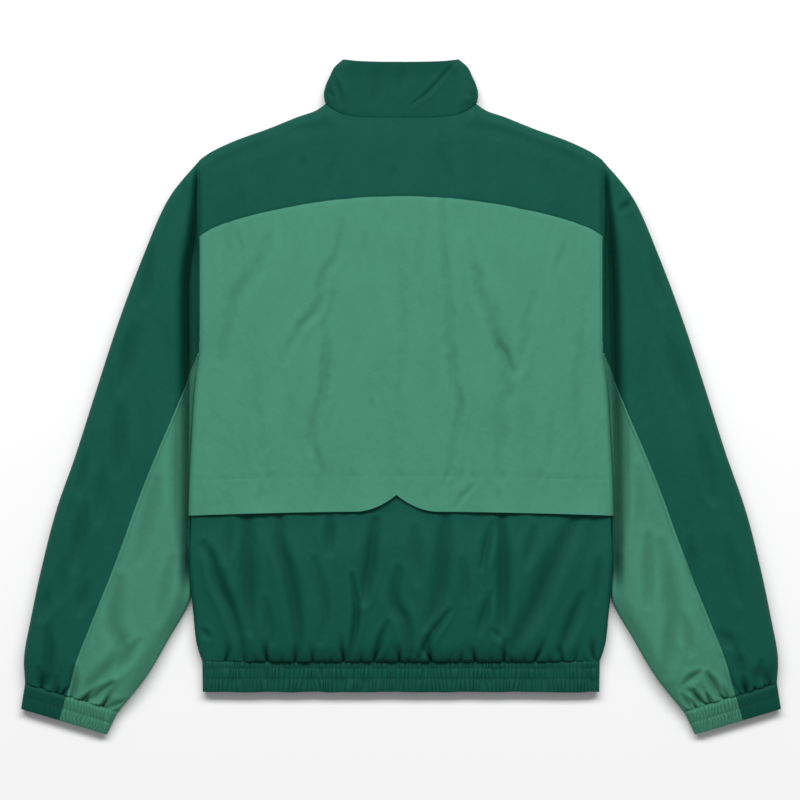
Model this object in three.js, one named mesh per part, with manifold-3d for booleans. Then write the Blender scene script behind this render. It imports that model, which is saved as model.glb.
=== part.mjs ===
// A hip-length track jacket of thin woven nylon, laid flat on its front with its back upwards.
// +X runs across the jacket, +Y towards the collar and +Z up from the surface it lies on, in millimetres.
// Every piece of cloth is a thin wall on a mid surface z = f(x, y), turned round the folds at its sides.
import * as THREE from "three";
import { mergeVertices } from "three/addons/utils/BufferGeometryUtils.js";
import Module from "manifold-3d";

// Walls and seams
const CLOTH = 1.6;
const COLLAR_WALL = 2.6;
const BAND_WALL = 3.0;
const CUFF_WALL = 2.6;
const SEAM = 0.6;
const NECK_SEAM = 1.2;
const UNDERARM_SEAM = 2.8; // along the sections, which the seam crosses at a slant near the underarm
const BAND_SEAM = 0.8; // room for the puffed cloth, which stands on the hem band's edge
const UNDER = 2.8; // how far a layer lies below the one that covers it
const CENTRE_Y = 0.15; // moves the jacket's own box onto the origin

// Body sizes
const ARMHOLE_X = 231;
const UNDERARM_Y = 46;
const UNDERARM_BLEND = 18;
const SHOULDER_Y = 271;
const HEM_SEAM_Y = -304;
const HEM_Y = -338.8;
const CAPE_SLIP = -5; // how far the cape's free edge has slipped sideways at its middle
const CAPE_STITCH_Y = -92; // the lower back is sewn to the cape along this line
const NECK_HALF = 86;
const NECK_POINT_Y = 336;
const BACK_NECK_Y = 320;
const FRONT_NECK_Y = 268;
const ZIP_GAP = 5.4; // half the space that the zip fills between the two fronts

// Heights of the middle of the cloth above the surface
const SIDE_SEAM_Z = 7;
const SHOULDER_Z = 6.5;
const BODY_EDGE_Z = 13;
const BODY_ROUND = 6;
const BODY_SLOPE = 120;
const UNDER_ROUND = 6;
const SHOULDER_ROUND = 12;
const NECK_Z = 16.5;
const NECK_ROUND = 14;
const BAND_TOP_Z = 11.5;
const BLOUSE = 24; // length over which the body puffs out above the hem band
const FOLD_FLOOR = 8.5; // no fold of the lower back reaches below this
const SLEEVE_FLOOR = 4;
const NECK_EASE = 34; // length over which the back falls to the neck seam, at its middle
const NECK_EASE_SIDE = 14;
const SEAM_EASE = 0.8; // width along an edge over which a panel stands off its seam

// Collar, hem band, cuffs and zip
const COLLAR_HEIGHT = 66;
const COLLAR_TOP_Y = 384.2; // at the middle of the back; its corners stand a little higher
const FRONT_COLLAR_TOP_Y = FRONT_NECK_Y + COLLAR_HEIGHT;
const COLLAR_FOLD_Z = 7;
const COLLAR_LEAN = 0.8; // how much lower the collar's top edge lies
const BAND_FOLD_Z = 6.5;
const BAND_RIPPLES = 44;
const BAND_RIPPLE = 0.7;
const CUFF_TOP_Z = 11.5;
const CUFF_FOLD_Z = 6.2;
const CUFF_ROUND = 5;
const CUFF_RIPPLES = 14;
const CUFF_RIPPLE = 0.6;
const ZIP_LIFT = 4.2; // the slider and its pull tab hold the top of the zip this far off the surface
const TAPE_HALF = 13;
const TAPE = 1.0;
const TAPE_GAP = 0.5;
const CHAIN_HALF = 3;
const CHAIN_BASE = 0.1;
const TAPE_BOTTOM_Y = -336;
const TAPE_TOP_Y = 332.5;
const HINGE_Y = 322;
const HINGE_Z = 1.77;
const SLIDER = { half: 5, length: 9, base: 2.6, plate: 1.2, flange: 1.5, flangeTop: 5.2 };
const BAIL = { half: 0.7, inner: 1.2, leg: 0.8, low: 0.3, bridge: 0.65 };
const PULL = { half: 2.5, thick: 0.8, bar: 0.4, slotHalf: 1.1, slotEnd: 3, taper: 20, end: 25, endHalf: 1.6 };

// Half the width of the body, from the hem seam up to the armhole
const SIDES = [
  { y: HEM_SEAM_Y, half: 227 },
  { y: -297, half: 230 },
  { y: -280, half: 234.6 },
  { y: -247, half: 238 },
  { y: -209, half: 242 },
  { y: -168, half: 243.8 },
  { y: -100, half: 242.6 },
  { y: -50, half: 240 },
  { y: -4, half: 237.5 },
  { y: 23, half: 235 },
  { y: UNDERARM_Y, half: 232 },
  { y: 66, half: ARMHOLE_X },
  { y: SHOULDER_Y, half: ARMHOLE_X },
];

// The shoulder fold, from the neck point to the top of the sleeve
const SHOULDER = [
  { x: NECK_HALF, y: NECK_POINT_Y },
  { x: 93, y: 331 },
  { x: 100, y: 327 },
  { x: 118, y: 321 },
  { x: 153, y: 307 },
  { x: 189, y: 294 },
  { x: 218, y: 280.5 },
  { x: ARMHOLE_X, y: SHOULDER_Y },
];

// Height of the back's crown along the body
const CROWN = [
  { y: HEM_SEAM_Y, z: 24 },
  { y: -260, z: 26 },
  { y: -136, z: 25 },
  { y: 0, z: 24 },
  { y: 190, z: 22 },
  { y: 270, z: 20 },
  { y: NECK_POINT_Y, z: 17.5 },
];

// The collar's side fold, from the neck seam (rise 0) to its top edge (rise 1)
const COLLAR_FOLD = [
  { rise: 0, x: 86, y: 338 },
  { rise: 0.2, x: 87.4, y: 347.5 },
  { rise: 0.4, x: 85, y: 358 },
  { rise: 0.6, x: 80.5, y: 368 },
  { rise: 0.8, x: 75.5, y: 378 },
  { rise: 1, x: 66, y: 386.5 },
];

// Sections across the right sleeve from its outer fold to its inner one, from the armhole (t 0) to the cuff
// (t 1). seam is the dark panel's share of the section, crown its height, low the height of the inner fold,
// ledge the height just inside that fold and slope the distance over which the sleeve then rises.
const SLEEVE = [
  { t: 0, outX: 231.6, outY: 271, inX: 234, inY: 46, seam: 0.975, crown: 14, low: 7, ledge: 12, slope: 14 },
  { t: 0.1, outX: 267, outY: 226, inX: 239.8, inY: 6, seam: 0.89, crown: 16, low: 2.8, ledge: 5, slope: 34 },
  { t: 0.2, outX: 296, outY: 160, inX: 242, inY: -36, seam: 0.8, crown: 18, low: 2.8, ledge: 5, slope: 42 },
  { t: 0.3, outX: 324, outY: 85, inX: 243.9, inY: -77, seam: 0.72, crown: 19, low: 2.8, ledge: 5, slope: 46 },
  { t: 0.4, outX: 351, outY: 2, inX: 245.4, inY: -119, seam: 0.63, crown: 20, low: 2.8, ledge: 5, slope: 48 },
  { t: 0.5, outX: 373, outY: -67, inX: 246, inY: -159, seam: 0.56, crown: 20, low: 2.8, ledge: 5, slope: 46 },
  { t: 0.6, outX: 395, outY: -130, inX: 245, inY: -197, seam: 0.512, crown: 20, low: 3, ledge: 6, slope: 42 },
  { t: 0.7, outX: 412, outY: -196, inX: 244, inY: -234, seam: 0.45, crown: 20, low: 4, ledge: 9, slope: 36 },
  { t: 0.8, outX: 424, outY: -253, inX: 267, inY: -277, seam: 0.43, crown: 20, low: 5, ledge: 11, slope: 32 },
  { t: 0.9, outX: 432, outY: -297, inX: 293, inY: -321, seam: 0.42, crown: 19, low: 6, ledge: 13, slope: 26 },
  { t: 1, outX: 431, outY: -329, inX: 325, inY: -361, seam: 0.45, crown: 13, low: 6, ledge: 12, slope: 16 },
];
const SLEEVE_OUTER_Z = 7;
const SLEEVE_OUTER_ROUND = 12;
const SLEEVE_INNER_ROUND = 2.4;

// The cuff's two edges, as sections of the same kind
const CUFF = {
  top: { outer: [430.8, -329.8], inner: [326.3, -361.6] },
  end: { outer: [435.3, -358.6], inner: [338.8, -387.2] },
  seam: 0.442,
};

// Long soft folds, each a trough along its path: depth at its middle, width to either side
const CAPE_FOLDS = [
  { path: [[-69, 192], [-72, 155], [-98, 100], [-130, 54]], depth: 2.2, width: 9 },
  { path: [[-87, 92], [-86, 0], [-106, -50], [-91, -136]], depth: 2.2, width: 10 },
  { path: [[-155, 175], [-187, 122], [-208, 48]], depth: 2, width: 9 },
  { path: [[46, 218], [56, 90], [68, 0], [66, -85]], depth: 2.3, width: 9 },
  { path: [[79, 154], [92, 92], [129, 24]], depth: 2.2, width: 9 },
  { path: [[104, 58], [112, -40], [112, -137]], depth: 2.4, width: 9 },
];
const LOWER_BACK_FOLDS = [
  { path: [[-228, -170], [-198, -245], [-182, -292]], depth: 3.2, width: 8 },
  { path: [[-178, -142], [-172, -190], [-175, -270]], depth: 3.4, width: 8 },
  { path: [[-142, -142], [-122, -215], [-120, -300]], depth: 3.6, width: 9 },
  { path: [[-28, -142], [-42, -200], [-58, -250], [-60, -303]], depth: 3.6, width: 8 },
  { path: [[-8, -205], [4, -270], [10, -300]], depth: 3, width: 7 },
  { path: [[52, -142], [50, -190], [36, -260]], depth: 3.2, width: 9 },
  { path: [[114, -142], [118, -190], [118, -262]], depth: 3.6, width: 8 },
  { path: [[200, -155], [165, -225], [131, -292]], depth: 3.4, width: 9 },
  { path: [[212, -228], [196, -258], [185, -292]], depth: 2.8, width: 7 },
  { path: [[105, -225], [92, -270], [88, -292]], depth: 2.8, width: 7 },
];
const SLEEVE_FOLDS = {
  left: [
    { path: [[-239, 262], [-240, 215], [-253, 150], [-254, 60]], depth: 7, width: 8 },
    { path: [[-254, 60], [-257, 0], [-254, -50], [-252, -170]], depth: 3, width: 8 },
    { path: [[-320, -20], [-326, -86]], depth: 1.8, width: 9 },
    { path: [[-364, -140], [-378, -205]], depth: 2.2, width: 9 },
    { path: [[-322, -215], [-330, -290], [-352, -335]], depth: 3.4, width: 9 },
    { path: [[-405, -260], [-404, -325]], depth: 4, width: 7 },
  ],
  right: [
    { path: [[239, 262], [241, 200], [252, 120], [254, 40]], depth: 7, width: 8 },
    { path: [[254, 40], [254, -30], [250, -90], [250, -170]], depth: 3, width: 8 },
    { path: [[281, -165], [282, -235]], depth: 2.4, width: 8 },
    { path: [[300, -180], [310, -240], [302, -320]], depth: 3.4, width: 9 },
    { path: [[368, -280], [388, -300], [393, -325]], depth: 3, width: 7 },
    { path: [[352, -312], [370, -343]], depth: 4, width: 5 },
  ],
};
const COLLAR_FOLDS = [
  { path: [[62, 380], [40, 356], [16, 330]], depth: 1.3, width: 7 },
  { path: [[-64, 368], [-57, 336]], depth: 1.4, width: 6 },
];

// The gathers where the lower back is drawn into the hem band: one nip each, unevenly spaced
const GATHERS = 24;
const GATHER_SPAN = 212;
const GATHER_DEPTH = 3.4;
const GATHER_WIDTH = 5;

const COLOURS = { dark: 0x1a5848, light: 0x4a8c75, tape: 0x173f35, metal: 0x8d9290 };

const wasm = await Module();
wasm.setup();
const { Manifold, Mesh } = wasm;

const clamp = (value, low, high) => Math.min(Math.max(value, low), high);
const mix = (from, to, share) => from + (to - from) * share;

const evenSteps = (from, to, count) => Array.from({ length: count + 1 }, (_, k) => mix(from, to, k / count));

function smooth(value) {
  const share = clamp(value, 0, 1);
  return share * share * (3 - 2 * share);
}

// A quarter of an ellipse: 0 with an upright start, 1 at the end
function roundUp(share) {
  const rest = 1 - clamp(share, 0, 1);
  return Math.sqrt(1 - rest * rest);
}

// A slope that leaves its foot gently and flattens at its top
function easeUp(share) {
  const rest = 1 - clamp(share, 0, 1);
  return (1 - rest * rest) ** 1.5;
}

// A column of a table at a key, on a smooth curve through the rows
function along(rows, key, column, at) {
  const last = rows.length - 1;
  const place = clamp(at, rows[0][key], rows[last][key]);
  let i = 0;
  while (i < last - 1 && place > rows[i + 1][key]) i += 1;
  const slope = (k) => {
    const before = rows[Math.max(k - 1, 0)];
    const after = rows[Math.min(k + 1, last)];
    return (after[column] - before[column]) / (after[key] - before[key]);
  };
  const a = rows[i];
  const b = rows[i + 1];
  const step = b[key] - a[key];
  const s = (place - a[key]) / step;
  const hold = (1 + 2 * s) * (1 - s) ** 2 * a[column] + s * s * (3 - 2 * s) * b[column];
  const lean = s * (1 - s) ** 2 * slope(i) - s * s * (1 - s) * slope(i + 1);
  return hold + lean * step;
}

// Depth of a set of folds at a point: each falls off as a bell to its sides and fades towards its ends
function foldDepth(folds, x, y) {
  let depth = 0;
  for (const fold of folds) {
    const { path } = fold;
    const lengths = path.slice(1).map(([px, py], i) => Math.hypot(px - path[i][0], py - path[i][1]));
    const total = lengths.reduce((sum, one) => sum + one, 0);
    let nearest = Infinity;
    let place = 0;
    let run = 0;
    lengths.forEach((length, i) => {
      const [ax, ay] = path[i];
      const [bx, by] = path[i + 1];
      const share = clamp(((x - ax) * (bx - ax) + (y - ay) * (by - ay)) / length ** 2, 0, 1);
      const away = Math.hypot(x - mix(ax, bx, share), y - mix(ay, by, share));
      if (away < nearest) {
        nearest = away;
        place = (run + share * length) / total;
      }
      run += length;
    });
    const fade = 0.35 + 0.65 * Math.sin(Math.PI * clamp(0.08 + 0.84 * place, 0, 1));
    depth += fold.depth * fade * Math.exp(-((nearest / fold.width) ** 2));
  }
  return depth;
}

// Lowers a height by a depth, but never quite down to a floor
function sink(z, depth, floor) {
  const room = Math.max(z - floor, 0.01);
  return z - room * (1 - Math.exp(-depth / room));
}

const bodyHalf = (y) => along(SIDES, "y", "half", y);
const backNeckY = (x) => BACK_NECK_Y + (NECK_POINT_Y - BACK_NECK_Y) * (Math.abs(x) / NECK_HALF) ** 5;
const frontNeckY = (x) => FRONT_NECK_Y + (NECK_POINT_Y - FRONT_NECK_Y) * (Math.abs(x) / NECK_HALF) ** 2.4;
const shoulderY = (x) => along(SHOULDER, "x", "y", Math.abs(x));
const backTopY = (x) => (Math.abs(x) < NECK_HALF ? backNeckY(x) : shoulderY(x));
const frontTopY = (x) => (Math.abs(x) < NECK_HALF ? frontNeckY(x) : shoulderY(x));

// The seam between yoke and cape: a flat arch that turns down at the armholes
function yokeSeamY(x) {
  const share = Math.abs(x) / ARMHOLE_X;
  return 230 - 40 * share ** 2 - 6 * share ** 20;
}

// The cape's lower edge, with the pointed notch at its middle
function capeEdgeY(x) {
  const notch = Math.max(0, 1 - Math.abs(x) / 45);
  return -131.3 - 5.6 * (Math.abs(x) / 243) ** 2 + 19 * notch ** 2;
}

// How far the cloth round the top of the zip is held up by the slider under it
function zipLift(x, y) {
  return ZIP_LIFT * smooth((y - 222) / 62) * (1 - smooth((Math.abs(x) - 10) / 60));
}

// Height of the body's edge at its sides: open at the armhole, down at the side seam below it
function sideEdgeZ(y) {
  return mix(BODY_EDGE_Z, SIDE_SEAM_Z, smooth((UNDERARM_Y + UNDERARM_BLEND - y) / UNDERARM_BLEND));
}

// Height of the neck seam and the shoulder fold, on the back and on the front
function backTopZ(x) {
  return COLLAR_FOLD_Z + (NECK_Z - COLLAR_FOLD_Z) * roundUp((NECK_HALF - Math.abs(x)) / NECK_ROUND);
}
function frontTopZ(x, wall) {
  const fold = Math.abs(x) < NECK_HALF ? COLLAR_FOLD_Z : SHOULDER_Z;
  return mix(fold, wall / 2, roundUp((NECK_HALF - Math.abs(x)) / NECK_ROUND));
}

// The jacket's back, from side to side and from hem band to neck
function backZ(x, y) {
  const inside = bodyHalf(y) - Math.abs(x);
  const edge = sideEdgeZ(y);
  const crown = along(CROWN, "y", "z", y);
  let z = edge + (BODY_EDGE_Z - edge) * roundUp(inside / BODY_ROUND);
  z += (crown - BODY_EDGE_Z) * easeUp(inside / BODY_SLOPE);
  z -= foldDepth(CAPE_FOLDS, x, y) * smooth(inside / 20) * smooth((y + 165) / 30);
  const below = backTopY(x) - y;
  const neck = 1 - smooth((Math.abs(x) - NECK_HALF + 2) / 2);
  const reach = mix(NECK_EASE, NECK_EASE_SIDE, smooth((Math.abs(x) - 58) / 28));
  const soft = (1 - clamp(below / reach, 0, 1)) ** 2;
  const top = Math.abs(x) < NECK_HALF ? backTopZ(x) : SHOULDER_Z;
  z -= (z - top) * mix(1 - roundUp(below / SHOULDER_ROUND), soft, neck);
  const puff = roundUp((y - HEM_SEAM_Y) / BLOUSE);
  const band = bandTopZ(inside);
  return band + (z - band) * puff;
}

// The hem band's upper layer at a distance from its side fold
function bandTopZ(inside) {
  return BAND_FOLD_Z + (BAND_TOP_Z - BAND_FOLD_Z) * roundUp(inside / BODY_ROUND);
}

// The fronts, flat on the surface and turned up at the side seams and the shoulders
function frontZ(x, y) {
  const inside = bodyHalf(y) - Math.abs(x);
  const seam = mix(CLOTH / 2, SIDE_SEAM_Z, smooth((UNDERARM_Y + UNDERARM_BLEND - y) / UNDERARM_BLEND));
  const hem = smooth((HEM_SEAM_Y + 20 - y) / 20);
  const side = mix(seam, BAND_FOLD_Z, hem);
  const z = mix(side, CLOTH / 2, roundUp(inside / UNDER_ROUND));
  const below = frontTopY(x) - y;
  const neck = 1 - smooth((Math.abs(x) - NECK_HALF + 2) / 2);
  const soft = (1 - clamp(below / NECK_EASE_SIDE, 0, 1)) ** 2;
  const fall = mix(1 - roundUp(below / SHOULDER_ROUND), soft, neck);
  return z + (frontTopZ(x, CLOTH) - z) * fall + zipLift(x, y);
}

// The nips above the hem band: narrow at the seam, wider and shallower up the back
function gatherDepth(x, y) {
  let depth = 0;
  for (let k = 0; k < GATHERS; k += 1) {
    const uneven = 5.5 * Math.sin(k * 2.4) + 3 * Math.sin(k * 5.1 + 1);
    const centre = mix(-GATHER_SPAN, GATHER_SPAN, k / (GATHERS - 1)) + uneven;
    const reach = 26 + 14 * Math.sin(k * 3.7);
    const up = (y - HEM_SEAM_Y) / reach;
    const lean = (y - HEM_SEAM_Y) * 0.25 * Math.sin(k * 1.9);
    const strength = GATHER_DEPTH * (0.7 + 0.3 * Math.sin(k * 4.3)) * (1 - smooth(up));
    depth += strength * Math.exp(-(((x - centre - lean) / (GATHER_WIDTH * (1 + 0.8 * up))) ** 2));
  }
  return depth;
}

// The mid surface of the lower back, which the cape covers at its top
function lowerBackZ(x, y) {
  const covered = 1 - smooth((capeEdgeY(x) - 8 - y) / 50);
  const inside = bodyHalf(y) - Math.abs(x);
  const near = smooth((y - HEM_SEAM_Y) / 7);
  const folds = foldDepth(LOWER_BACK_FOLDS, x, y) * smooth(inside / 22);
  const depth = folds + gatherDepth(x, y) * smooth(inside / 14);
  return sink(backZ(x, y) - UNDER * covered * smooth(inside / 4), depth * near, FOLD_FLOOR);
}

// Distances from a fold, close together where the cloth turns round it
function turnSteps(radius, turns) {
  return evenSteps(0, turns - 1, turns - 1).map((k) => radius * (1 - Math.cos((k / turns) * (Math.PI / 2))));
}

// A closed wall round a mid surface. place(u, v) gives its point, and us and vs are the steps along it.
// relief(u, v) raises the outer side alone. The outer side is the one that the turn from u to v faces.
function wallGeometry(place, us, vs, wall, relief = () => 0) {
  const reach = 1e-3;
  const edge = (list, value, delta) => clamp(value + delta, list[0], list[list.length - 1]);
  const points = [];
  const index = (side, i, j) => (side * us.length + i) * vs.length + j;
  for (const side of [0, 1]) {
    for (const u of us) {
      for (const v of vs) {
        const alongU = new THREE.Vector3(...place(edge(us, u, reach), v));
        alongU.sub(new THREE.Vector3(...place(edge(us, u, -reach), v)));
        const alongV = new THREE.Vector3(...place(u, edge(vs, v, reach)));
        alongV.sub(new THREE.Vector3(...place(u, edge(vs, v, -reach))));
        const normal = alongU.cross(alongV).normalize();
        const out = side === 0 ? wall / 2 + relief(u, v) : -wall / 2;
        points.push(...new THREE.Vector3(...place(u, v)).addScaledVector(normal, out).toArray());
      }
    }
  }
  const faces = [];
  const quad = (a, b, c, d) => faces.push(a, b, c, a, c, d);
  const lastU = us.length - 1;
  const lastV = vs.length - 1;
  for (let i = 0; i < lastU; i += 1) {
    for (let j = 0; j < lastV; j += 1) {
      quad(index(0, i, j), index(0, i + 1, j), index(0, i + 1, j + 1), index(0, i, j + 1));
      quad(index(1, i, j), index(1, i, j + 1), index(1, i + 1, j + 1), index(1, i + 1, j));
    }
    quad(index(1, i, 0), index(1, i + 1, 0), index(0, i + 1, 0), index(0, i, 0));
    quad(index(0, i, lastV), index(0, i + 1, lastV), index(1, i + 1, lastV), index(1, i, lastV));
  }
  for (let j = 0; j < lastV; j += 1) {
    quad(index(0, 0, j), index(0, 0, j + 1), index(1, 0, j + 1), index(1, 0, j));
    quad(index(1, lastU, j), index(1, lastU, j + 1), index(0, lastU, j + 1), index(0, lastU, j));
  }
  const geometry = new THREE.BufferGeometry();
  geometry.setAttribute("position", new THREE.Float32BufferAttribute(points, 3));
  geometry.setIndex(faces);
  geometry.computeVertexNormals();
  return geometry;
}

const jacket = new THREE.Group();

function addPiece(name, geometry, colour, look = { roughness: 0.7, metalness: 0 }) {
  const mesh = new THREE.Mesh(geometry, new THREE.MeshStandardMaterial({ color: colour, ...look }));
  mesh.name = name;
  jacket.add(mesh);
}

// Columns across the body as distances from its middle, on both sides of it, closer at the side folds
const sideTurn = turnSteps(BODY_ROUND, 4).map((inside) => ARMHOLE_X - inside).reverse();
const bothSides = (half) => [...half.slice(1).reverse().map((x) => -x), ...half];
const yokeColumns = bothSides([
  0, 18, 36, 54, 63, 72, 79, 84.1, NECK_HALF, 98, 118, 142, 166, 186, 200, 211, 219,
  ARMHOLE_X - BODY_ROUND, ...sideTurn,
]);
const lowerBackColumns = bothSides([...evenSteps(0, ARMHOLE_X - BODY_ROUND, 30), ...sideTurn]);

// A point of a panel of the back: column is its distance from the middle at the armhole, which widens with
// the body. Its own edge stays a seam's gap inside the side.
function backPoint(column, y, height) {
  const half = bodyHalf(y);
  const x = (column / ARMHOLE_X) * half;
  const atEdge = 1 - smooth((half - Math.abs(x)) / SEAM_EASE);
  const below = smooth((UNDERARM_Y + UNDERARM_BLEND - y) / UNDERARM_BLEND);
  const z = height(x, y) + atEdge * below * (SEAM / 2);
  return [x - Math.sign(x) * atEdge * (1 - below) * (SEAM / 2), y, z];
}

// Yoke: the neck and the shoulder folds above, the arched seam below
const yokeRows = [...evenSteps(0, 0.86, 5), 0.92, 0.958, 0.982, 0.995, 1];
function yokePoint(column, rise) {
  const neck = Math.abs(column) < NECK_HALF;
  const top = backTopY(column) - (neck ? SEAM / 2 : 0);
  const y = mix(yokeSeamY(column) + SEAM / 2, top, rise);
  const [x, , z] = backPoint(column, y, backZ);
  const atFold = neck ? 0 : 1 - smooth((top - y) / SEAM_EASE);
  return [x, y, z + atFold * (SEAM / 2)];
}
addPiece("back_yoke", wallGeometry(yokePoint, yokeColumns, yokeRows, CLOTH), COLOURS.dark);

// Cape: the light panel of the back, free along its lower edge
const capeRows = [...evenSteps(0, 0.2, 3), ...evenSteps(0.28, 1, 8)];
function capePoint(column, rise) {
  const slip = CAPE_SLIP * (1 - rise) ** 2 * (1 - (column / ARMHOLE_X) ** 2);
  return backPoint(column + slip, mix(capeEdgeY(column), yokeSeamY(column) - SEAM / 2, rise), backZ);
}
addPiece("back_cape", wallGeometry(capePoint, yokeColumns, capeRows, CLOTH), COLOURS.light);

// Lower back: under the cape's hem at its top, gathered into the hem band below
const lowerBackRows = [0, 0.025, 0.06, 0.11, 0.18, 0.28, 0.42, 0.6, 0.8, 1];
function lowerBackPoint(column, rise) {
  const y = mix(HEM_SEAM_Y + BAND_SEAM, CAPE_STITCH_Y, rise);
  const [x, , z] = backPoint(column, y, lowerBackZ);
  const covered = 1 - smooth((capeEdgeY(column) - 4 - y) / 30);
  return [x * (1 - (covered * UNDER) / bodyHalf(y)), y, z];
}
addPiece("lower_back", wallGeometry(lowerBackPoint, lowerBackColumns, lowerBackRows, CLOTH), COLOURS.dark);

// Fronts: two plain panels under the back, with the zip between them
const frontColumns = [
  ...evenSteps(ZIP_GAP, NECK_HALF - NECK_ROUND, 5), 79, 84.1, NECK_HALF, 98, 118, 142, 186,
  ARMHOLE_X - BODY_ROUND, ...sideTurn,
];
const frontRows = [
  0, 0.015, 0.045, 0.1, 0.2, 0.36, 0.5, 0.565, 0.607, 0.645, 0.74, 0.85, 0.92, 0.955, 0.98, 0.995, 1,
];
function frontPoint(column, rise, side) {
  const neck = column < NECK_HALF;
  const steep = 0.6 + 1.4 * (column / NECK_HALF) ** 2; // the neck seam slants more and more towards its fold
  const top = frontTopY(column) - (neck ? NECK_SEAM * steep : 0);
  const y = mix(HEM_SEAM_Y + SEAM / 2, top, rise);
  const half = bodyHalf(y);
  const x = ZIP_GAP + ((column - ZIP_GAP) / (ARMHOLE_X - ZIP_GAP)) * (half - ZIP_GAP);
  const below = smooth((UNDERARM_Y + UNDERARM_BLEND - y) / UNDERARM_BLEND);
  const atEdge = 1 - smooth((half - x) / SEAM_EASE);
  const atFold = neck ? 0 : 1 - smooth((top - y) / SEAM_EASE);
  const z = frontZ(x, y) - Math.max(atEdge * below, atFold) * (SEAM / 2);
  return [side * (x - atEdge * (1 - below) * (SEAM / 2)), y, z];
}
for (const [name, side] of [["front_left", -1], ["front_right", 1]]) {
  const rows = side < 0 ? frontRows : frontRows.map((rise) => 1 - rise).reverse();
  const place = (column, rise) => frontPoint(column, side < 0 ? rise : 1 - rise, side);
  addPiece(name, wallGeometry(place, frontColumns, rows, CLOTH), COLOURS.dark);
}

// Steps round a flattened ring that is open at the middle of its lower layer. A step below 0 lies on the left
// half and above 0 on the right. Its size is 0 at the middle of the back, 1 at the fold and 2 at the opening.
const RING_TURN = 0.8;
function ringSteps(plainUp, turns, plainDown) {
  return bothSides([
    ...evenSteps(0, RING_TURN, plainUp),
    ...evenSteps(RING_TURN, 1, turns).slice(1),
    ...evenSteps(1, 2 - RING_TURN, turns).slice(1),
    ...evenSteps(2 - RING_TURN, 2, plainDown).slice(1),
  ]);
}

// Distance from the fold for such a step, and which layer it is on
function ringPlace(step, half, radius, gap) {
  const size = Math.abs(step);
  const upper = size <= 1;
  const fromFold = Math.abs(1 - size);
  const turn = Math.min(fromFold / (1 - RING_TURN), 1) * (Math.PI / 2);
  const length = upper ? half : half - gap;
  const plain = Math.max(fromFold - 1 + RING_TURN, 0) / RING_TURN;
  const inside = radius * (1 - Math.cos(turn)) + plain * (length - radius);
  return { upper, inside, x: Math.sign(step) * (half - inside) };
}

// Collar: a stand collar folded at both sides, its front half lower than its back half
function collarPoint(step, rise) {
  const fold = along(COLLAR_FOLD, "rise", "x", rise);
  const foldY = along(COLLAR_FOLD, "rise", "y", rise);
  const { upper, inside, x } = ringPlace(step, fold, NECK_ROUND, ZIP_GAP);
  const across = Math.abs(x) / fold;
  const backY = mix(BACK_NECK_Y + SEAM / 2, COLLAR_TOP_Y, rise);
  const frontY = mix(FRONT_NECK_Y + SEAM / 2, FRONT_COLLAR_TOP_Y, rise);
  const bend = upper ? across ** mix(5, 3, rise) : across ** 2.4;
  const y = mix(upper ? backY : frontY, foldY, bend);
  const share = roundUp(inside / NECK_ROUND);
  const high = NECK_Z - COLLAR_LEAN * smooth((rise - 0.7) / 0.3) - foldDepth(COLLAR_FOLDS, x, y);
  const low = COLLAR_WALL / 2 + zipLift(x, y);
  return [x, y, mix(COLLAR_FOLD_Z, upper ? high : low, share)];
}
const collarRows = evenSteps(0, 1, 5);
addPiece("collar", wallGeometry(collarPoint, ringSteps(8, 3, 5), collarRows, COLLAR_WALL), COLOURS.dark);

// Hem band: an elastic casing all round, open at the zip, with fine ripples on its outer side
function bandPoint(step, drop) {
  const half = mix(227, 226.4, drop);
  const { upper, inside, x } = ringPlace(step, half, BODY_ROUND, ZIP_GAP);
  const share = roundUp(inside / BODY_ROUND);
  const y = mix(HEM_SEAM_Y - SEAM / 2, HEM_Y, drop);
  return [x, y, mix(BAND_FOLD_Z, upper ? BAND_TOP_Z : BAND_WALL / 2, share)];
}
function bandRelief(step, drop) {
  const wave = Math.cos((step * BAND_RIPPLES * Math.PI) / RING_TURN);
  const height = BAND_RIPPLE * 0.5 * (1 + wave) * (1 - 0.6 * Math.abs(2 * drop - 1));
  return Math.abs(step) <= RING_TURN ? height : 0;
}
const bandSteps = ringSteps(BAND_RIPPLES, 3, 4);
const bandWall = wallGeometry((drop, step) => bandPoint(step, drop), evenSteps(0, 1, 3), bandSteps, BAND_WALL,
  (drop, step) => bandRelief(step, drop));
addPiece("hem_band", bandWall, COLOURS.dark);

// A point of a flattened tube between an outer and an inner fold. q is the place round it for one of its two
// panels: 0 at the panel's own fold, 1 at the seam on the upper layer and -1 at the seam on the lower layer.
const TURN_SHARE = 0.3;
function tubeInside(q, length, upRound, downRound) {
  const size = Math.abs(q);
  const radius = q >= 0 ? upRound : downRound;
  const turn = Math.min(size / TURN_SHARE, 1) * (Math.PI / 2);
  const plain = Math.max(size - TURN_SHARE, 0) / (1 - TURN_SHARE);
  return radius * (1 - Math.cos(turn)) + plain * (length - radius);
}

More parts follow.
